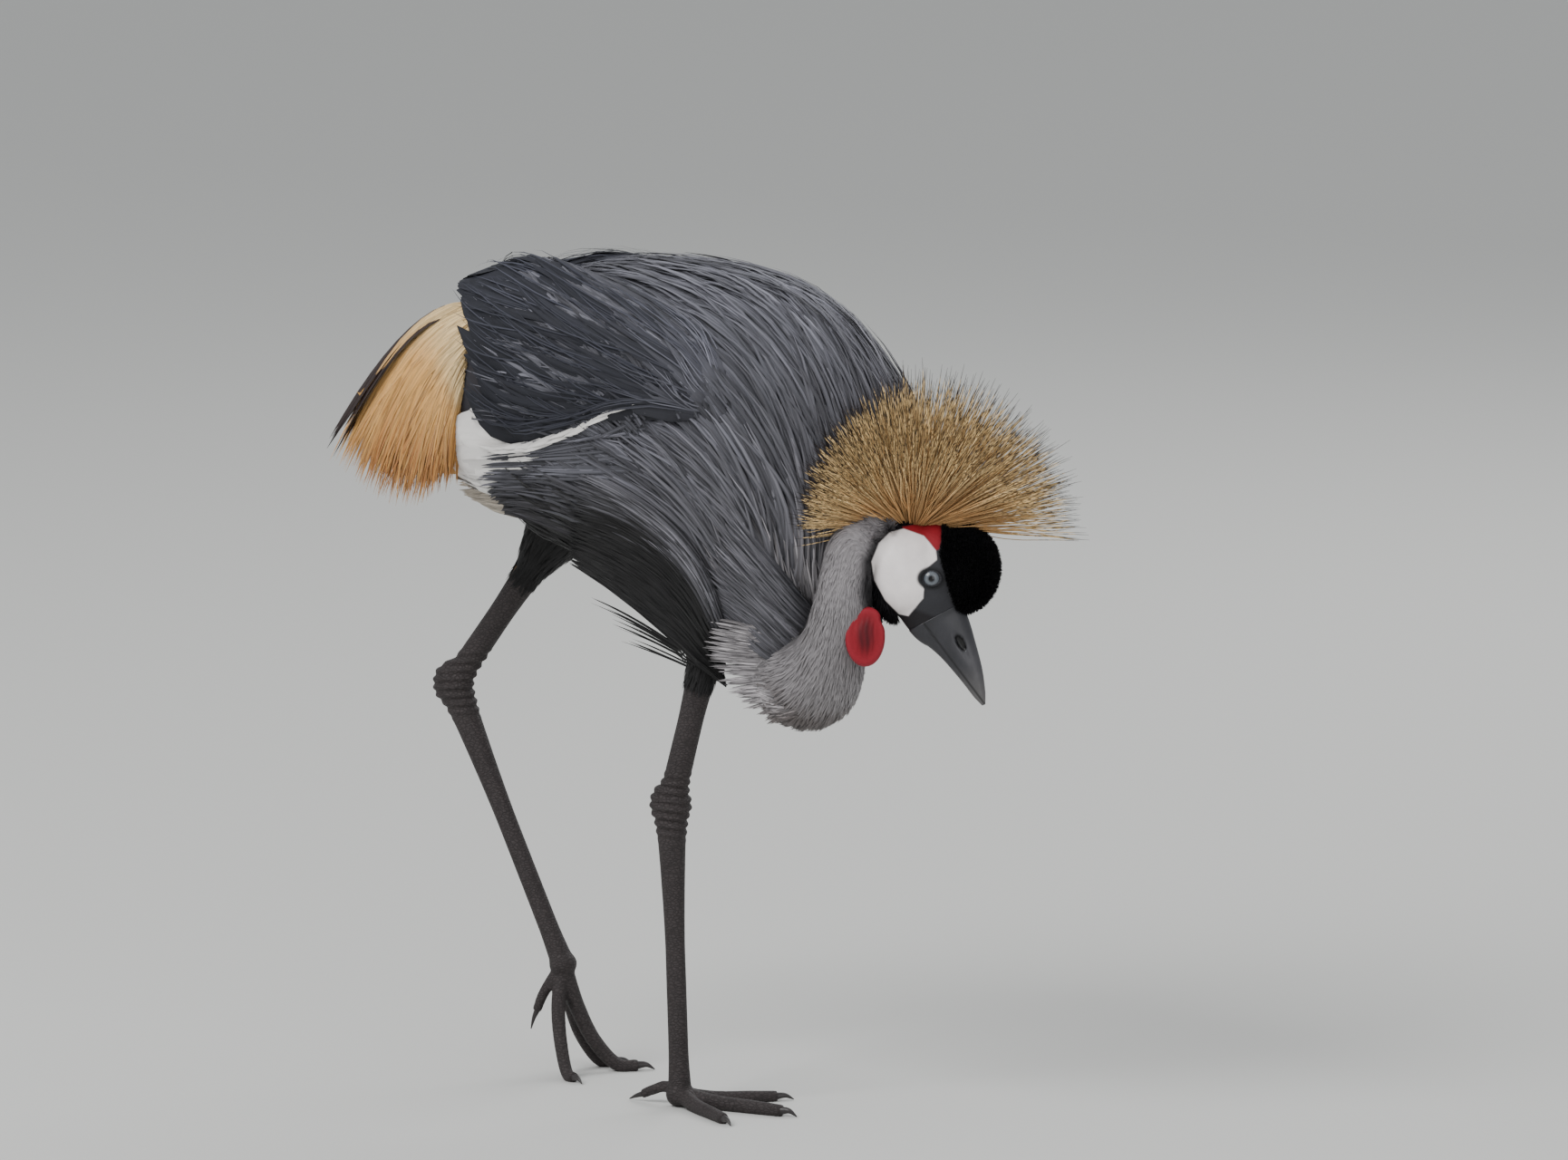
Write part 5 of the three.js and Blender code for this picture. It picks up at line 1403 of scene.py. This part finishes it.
def build_eyes(eye_material, lid_material):
    around, across = (
        turns[..., None] for turns in np.meshgrid(
            np.linspace(0, 2 * math.pi, LID_RING, endpoint=False),
            np.linspace(0, 2 * math.pi, LID_ROLL, endpoint=False), indexing="ij"))
    wide = 1 + 0.2 * np.cos(across)
    crease = 0.12 * np.sin(around * 17) * np.sin(across)
    for side, sign in SIDES.items():
        local, faces = ball([0, 0, 0], [EYEBALL] * 3, 96)
        turned = np.stack([local[:, 0], local[:, 2], -local[:, 1]], -1)
        eye = add_mesh(f"eyeball_{side}", from_head(turned + V([0, EYE_DEPTH * sign, 0])), faces)
        add_uv(eye.data, "iris", turned[:, [0, 2]] / IRIS_MAP + 0.5)
        finish(eye, eye_material, "eye", f"eye_{side}")
        ring = np.concatenate([
            LID_REACH[0] * wide * np.cos(around),
            sign * (LID_ASIDE + 1.5 * np.sin(across) + crease),
            LID_REACH[1] * wide * np.sin(around) - 0.5 * np.cos(around) ** 2 + 0 * across], -1)
        rounds = [tuple(face) for face in grid_faces(LID_RING, LID_ROLL, True, True)]
        lid = add_mesh(f"lids_{side}", from_head(ring.reshape(-1, 3)), rounds)
        set_tint(lid.data, LORE_GREY * 0.7)
        finish(lid, lid_material, "head_skin")


WATTLE_AT, WATTLE_ASIDE = V([-46.4, 0, -41]), V([0, 12, 0])
WATTLE_REACH = [14, 10, 21]
# Painted shade for the wattle's hollow middle and folds, and a painted highlight for its raised rim
WATTLE_RED, WATTLE_SHADE, WATTLE_RIM_HIGHLIGHT = linear(132, 20, 33), linear(74, 8, 18), linear(152, 38, 52)


def build_wattle(material):
    for side, sign in SIDES.items():
        points, faces = ball([0, 0, 0], WATTLE_REACH, 120)
        forward, aside, up = points.T
        shell = np.hypot(forward / 12.2, up / 18.6)
        outer = smooth(0, 3, aside * sign)
        rim = 1.5 * np.exp(-((shell - 0.98) / 0.13) ** 2)
        wrinkle = 0.2 * np.sin(forward * 1.7 + 0.6 * np.sin(up * 0.35))
        lift = outer * (rim + smooth(0.95, 0.6, shell) * (wrinkle - 0.9))
        shaped = points + unit(points / V(WATTLE_REACH) ** 2) * lift[:, None]
        shaped[:, 0] += 1.6 * smooth(0, 20, up)
        shaped[:, 0] -= 1.8 * np.exp(-((up - 11) / 4) ** 2) * smooth(4, 12, forward)
        # Painted shade in the folds and the hollow middle, and a painted highlight on the rim
        folds = 0.5 + 0.5 * np.sin(forward * 1.3 + 1.1 * np.sin(up * 0.22))
        middle = smooth(0.95, 0.3, np.hypot(forward / 9, (up - 1) / 19))
        tint = mix(WATTLE_RED, WATTLE_SHADE, middle * outer * (0.75 + 0.25 * folds))
        tint = mix(tint, WATTLE_RIM_HIGHLIGHT, np.exp(-((shell - 1) / 0.12) ** 2) * outer * 0.5)
        place = WATTLE_AT + WATTLE_ASIDE * sign
        obj = add_mesh(f"wattle_{side}", from_head(shaped + place), faces)
        set_tint(obj.data, tint)
        finish(obj, material, "wattle_red", "wattle")


CLAW_LENGTH = 12
CLAW_BROWN = linear(44, 40, 40)


def claw_loft(toe):
    """An arched claw that tapers from the end of a toe to a point on the floor or above it."""
    place, along, _, _, reach = (field[0] for field in toe.at(V([1.0])))
    girth = reach[0]
    arch = place + along * CLAW_LENGTH * 0.5 + V([0, 0, girth * 0.12])
    tip = place + along * CLAW_LENGTH
    tip[2] = max(tip[2] - girth * 0.6, 1)
    return Loft([
        [*(place - along), girth * 0.7, girth * 0.6, girth * 0.62],
        [*arch, girth * 0.42, girth * 0.42, girth * 0.42], [*tip, 0.4, 0.4, 0.4]])


def build_claws(material):
    for side in SIDES:
        for name in TOE_GIRTH:
            points, faces = tube(claw_loft(toe_loft(side, name)), 0, 16, 24)
            points[:, 2] = np.maximum(points[:, 2], 0)
            obj = add_mesh(f"horn_claw_{name}_{side}", points, faces)
            set_tint(obj.data, CLAW_BROWN)
            finish(obj, material, "claw_horn", f"claw_{name}_{side}")


# Materials
class Nodes:
    """A material's nodes, with short calls to add and link them."""

    def __init__(self, name, roughness, specular=0.3, sheen=0.0, coat=0.0):
        self.material = bpy.data.materials.new(name)
        self.material.use_nodes = True
        self.tree = self.material.node_tree
        self.shader = self.tree.nodes["Principled BSDF"]
        self.shader.inputs["Roughness"].default_value = roughness
        self.shader.inputs["Specular IOR Level"].default_value = specular
        self.shader.inputs["Sheen Weight"].default_value = sheen
        self.shader.inputs["Coat Weight"].default_value = coat

    def feed(self, socket, value):
        """Links an output to an input, or sets the input to a value."""
        if isinstance(value, bpy.types.NodeSocket):
            self.tree.links.new(value, socket)
        else:
            socket.default_value = value

    def add(self, kind, inputs, output=0, **settings):
        """One output of a new node, given what its inputs take."""
        node = self.tree.nodes.new(f"ShaderNode{kind}")
        for key, value in settings.items():
            setattr(node, key, value)
        for key, value in inputs.items():
            self.feed(node.inputs[key], value)
        return node.outputs[output]

    def math(self, operation, a, b=0.0, clamp=False):
        return self.add("Math", {0: a, 1: b}, operation=operation, use_clamp=clamp)

    def plus(self, a, b):
        return self.math("ADD", a, b)

    def minus(self, a, b):
        return self.math("SUBTRACT", a, b)

    def times(self, a, b):
        return self.math("MULTIPLY", a, b)

    def stretch(self, vector, factors):
        return self.add("VectorMath", {0: vector, 1: factors}, operation="MULTIPLY")

    def scale(self, vector, factor):
        return self.add("VectorMath", {0: vector, "Scale": factor}, operation="SCALE")

    def noise(self, place, scale, detail, roughness=0.5):
        settings = {"Vector": place, "Scale": scale, "Detail": detail, "Roughness": roughness}
        return self.add("TexNoise", settings, "Fac")

    def remap(self, value, low, high, to_low=0.0, to_high=1.0):
        """The value with low to high turned into to_low to to_high, and kept between them."""
        return self.add("MapRange", {
            "Value": value, "From Min": low, "From Max": high, "To Min": to_low, "To Max": to_high})

    def place(self):
        return self.add("TexCoord", {}, "Object")

    def lie(self):
        """The place on a feather, as the map itself and as its two parts, across and along."""
        lie = self.add("UVMap", {}, uv_map="lie")
        return lie, self.add("SeparateXYZ", {0: lie}), self.add("SeparateXYZ", {0: lie}, 1)

    def tint(self, name="tint"):
        return self.add("Attribute", {}, "Color", attribute_name=name)

    def bump(self, height, strength, distance):
        bump = self.add("Bump", {"Height": height, "Strength": strength, "Distance": distance})
        self.feed(self.shader.inputs["Normal"], bump)

    def color(self, value):
        self.feed(self.shader.inputs["Base Color"], value)
        return self.material


def feather_material(name, streaks, shaft, roughness, sheen, shaft_width=0.035, strength=0.35,
                     contrast=(0.62, 1.3)):
    """Barbs as streaks along or across the vane, and a pale shaft down its middle."""
    nodes = Nodes(name, roughness, 0.28, sheen)
    lie, across, along = nodes.lie()
    drawn = nodes.stretch(lie, (streaks, 0.7, 0))
    place = nodes.add("VectorMath", {0: nodes.place(), 1: (9, 9, 9), 2: drawn}, operation="MULTIPLY_ADD")
    noise = nodes.noise(place, 1.0, 4.0, 0.65)
    streak = nodes.remap(noise, 0.3, 0.7, *contrast)
    from_shaft = nodes.math("ABSOLUTE", nodes.minus(across, 0.5))
    slanted = nodes.minus(along, nodes.times(from_shaft, 0.55))
    barbs = nodes.math("SINE", nodes.times(slanted, 320.0))
    on_shaft = nodes.math("SUBTRACT", 1.0, nodes.math("DIVIDE", from_shaft, shaft_width), clamp=True)
    gain = nodes.plus(1.0, nodes.times(on_shaft, shaft))
    nodes.bump(nodes.plus(noise, nodes.times(barbs, 0.12)), strength, 0.0006)
    return nodes.color(nodes.scale(nodes.tint(), nodes.times(streak, gain)))


def skin_material():
    """Fine grain all over, and plates with darker gaps where the skin is scaly."""
    nodes = Nodes("bare_skin", 0.62)
    place = nodes.place()
    plates = {"Vector": nodes.stretch(place, (1, 1, 1.7)), "Scale": 300.0}
    edge = nodes.add("TexVoronoi", plates, "Distance", feature="DISTANCE_TO_EDGE")
    plate = nodes.remap(edge, 0.0, 0.22)
    fine = nodes.noise(place, 900.0, 5.0)
    broad = nodes.noise(place, 55.0, 6.0)
    scaly = nodes.tint("scaly")
    nodes.bump(nodes.plus(nodes.times(plate, scaly), nodes.times(fine, 0.5)), 0.5, 0.0008)
    shade = nodes.plus(0.72, nodes.times(broad, 0.5))
    gap = nodes.times(nodes.minus(1.0, plate), nodes.times(scaly, 0.45))
    return nodes.color(nodes.scale(nodes.tint(), nodes.times(shade, nodes.minus(1.0, gap))))


def plain_material(name, roughness, specular, coat, grain, depth, spread=0.5, warp=(1, 1, 1)):
    """A tinted surface with fine grain in its colour and its relief."""
    nodes = Nodes(name, roughness, specular, 0.0, coat)
    noise = nodes.noise(nodes.stretch(nodes.place(), warp), grain, 6.0, 0.6)
    nodes.bump(noise, 0.5, depth)
    shade = nodes.plus(1 - spread / 2, nodes.times(noise, spread))
    return nodes.color(nodes.scale(nodes.tint(), shade))


def bristle_material():
    """Straw bristles twisted with dark brown, so that they look banded, with dark tips."""
    nodes = Nodes("bristle", 0.55)
    _, _, along = nodes.lie()
    middle = (from_head(CREST_AT) + TO_FRAME) * MM
    away = nodes.add("VectorMath", {0: nodes.place(), 1: middle}, operation="SUBTRACT")
    noise = nodes.noise(nodes.add("VectorMath", {0: away}, operation="NORMALIZE"), 40.0, 1.0)
    twist = nodes.plus(nodes.times(along, 70.0), nodes.times(noise, 50.0))
    bands = nodes.remap(nodes.math("SINE", twist), 0.1, 0.7, 0.0, 0.92)
    banded = nodes.times(bands, nodes.remap(along, 0.2, 0.85, 0.12, 1.0))
    dark = nodes.math("MAXIMUM", banded, nodes.remap(along, 0.9, 0.93))
    nodes.bump(bands, 0.2, 0.0002)
    colors = {0: dark, 6: nodes.tint(), 7: (*BRISTLE_DARK, 1)}
    return nodes.color(nodes.add("Mix", colors, 2, data_type="RGBA", blend_type="MIX"))


# The eye's rings from the middle of the pupil to the rim, as places on its map and colours
IRIS_RINGS = [
    (0.0, (5, 5, 7)), (0.085, (6, 6, 8)), (0.105, (60, 64, 70)), (0.16, (104, 109, 115)),
    (0.25, (86, 91, 98)), (0.3, (24, 24, 27)), (1.0, (14, 13, 15)),
]


def eye_material():
    """A pale grey-blue iris with darker flecks and rim round a small black pupil."""
    nodes = Nodes("eye_gloss", 0.16, 0.3, 0.0, 0.3)
    lie = nodes.add("UVMap", {}, uv_map="iris")
    away = nodes.add("VectorMath", {0: lie, 1: (0.5, 0.48, 0)}, "Value", operation="DISTANCE")
    ring = nodes.add("ValToRGB", {0: away})
    stops = ring.node.color_ramp.elements
    while len(stops) < len(IRIS_RINGS):
        stops.new(0.5)
    for stop, (at, color) in zip(stops, IRIS_RINGS):
        stop.position = at
        stop.color = (*linear(*color), 1)
    flecks = nodes.times(nodes.noise(lie, 60.0, 4.0), 0.6)
    return nodes.color(nodes.scale(ring, nodes.plus(0.7, flecks)))


# Floor, light and camera
FLOOR_HALF = 9000
FLOOR_GREY = (0.62, 0.62, 0.6, 1)
SKY, SKY_LIGHT = (0.78, 0.8, 0.82, 1), 0.75
LIT_PLACE = V([0, 0, 0.4])
LAMPS = {                      # place, size in metres and power in watts
    "key": ((-1.2, -3.0, 3.4), 2.2, 150),
    "fill": ((3.4, -2.4, 1.6), 3.0, 45),
    "back": ((0.4, 3.2, 2.8), 2.4, 60),
}


def aim_at(obj, target):
    way = Vector(target) - Vector(obj.location)
    obj.rotation_euler = way.to_track_quat("-Z", "Y").to_euler()


def studio():
    corners = V([[-1, -1, 0], [1, -1, 0], [1, 1, 0], [-1, 1, 0.0]]) * FLOOR_HALF
    floor = add_mesh("floor", corners, [(0, 1, 2, 3)])
    floor.data.materials.append(Nodes("floor_pale", 0.85, 0.2).color(FLOOR_GREY))
    world = bpy.data.worlds.new("studio")
    bpy.context.scene.world = world
    world.use_nodes = True
    sky = world.node_tree.nodes["Background"]
    sky.inputs["Color"].default_value = SKY
    sky.inputs["Strength"].default_value = SKY_LIGHT
    for name, (place, size, power) in LAMPS.items():
        light = bpy.data.lights.new(name, "AREA")
        light.size = size
        light.energy = power
        lamp = bpy.data.objects.new(name, light)
        lamp.location = place
        aim_at(lamp, LIT_PLACE)
        bpy.context.scene.collection.objects.link(lamp)


PICTURE_CENTRE = V([48.4, 79.4, 366.6])
CAMERA_AZIMUTH, CAMERA_HEIGHT, CAMERA_AWAY = math.radians(25), math.radians(8), 8000
LENS, SENSOR = 255.5, 36


def make_camera():
    back = V([
        math.sin(CAMERA_AZIMUTH) * math.cos(CAMERA_HEIGHT),
        -math.cos(CAMERA_AZIMUTH) * math.cos(CAMERA_HEIGHT), math.sin(CAMERA_HEIGHT)])
    data = bpy.data.cameras.new("photo_camera")
    data.lens = LENS
    data.sensor_width = SENSOR
    data.clip_end = 100
    camera = bpy.data.objects.new("photo_camera", data)
    centre = (PICTURE_CENTRE + TO_FRAME) * MM
    camera.location = centre + back * CAMERA_AWAY * MM
    aim_at(camera, centre)
    bpy.context.scene.collection.objects.link(camera)
    bpy.context.scene.camera = camera


make_camera()
studio()
hackle = feather_material("hackle", 5.0, 0.3, 0.64, 0.08, 0.12)
vane = feather_material("vane", 16.0, 0.6, 0.72, 0.0, 0.03, 0.2, (0.9, 1.08))
white_vane = feather_material("white_vane", 7.0, 0.0, 0.7, 0.2, 0.03, 0.15, (0.94, 1.03))
dark_vane = feather_material("dark_vane", 9.0, 0.0, 0.55, 0.0, 0.03)
silk = feather_material("silk", 3.0, 0.0, 0.5, 0.3)
short_dark = plain_material("velvet_pile", 0.8, 0.12, 0.0, 900.0, 0.0004)
bristle = bristle_material()
horn = plain_material("horn", 0.42, 0.4, 0.05, 160.0, 0.0005, 0.8, (1, 1, 0.5))
claw_horn = plain_material("claw_horn", 0.4, 0.4, 0.1, 400.0, 0.0003)
flesh = plain_material("wattle_flesh", 0.6, 0.25, 0.0, 700.0, 0.0004, 0.3)
bare = skin_material()

skin_obj = build_skin(bare)
build_velvet(skin_obj, short_dark)
build_plumage(hackle)
for side_name, side_sign in SIDES.items():
    build_wing(side_name, vane, white_vane)
    build_quills(side_name, V([1, side_sign, 1]), dark_vane)
    build_plumes(side_name, V([1, side_sign, 1]), silk)
    build_thigh(side_name, hackle)
build_tail(dark_vane)
build_crest(bristle)
build_bill(horn)
build_eyes(eye_material(), bare)
build_wattle(flesh)
build_claws(claw_horn)
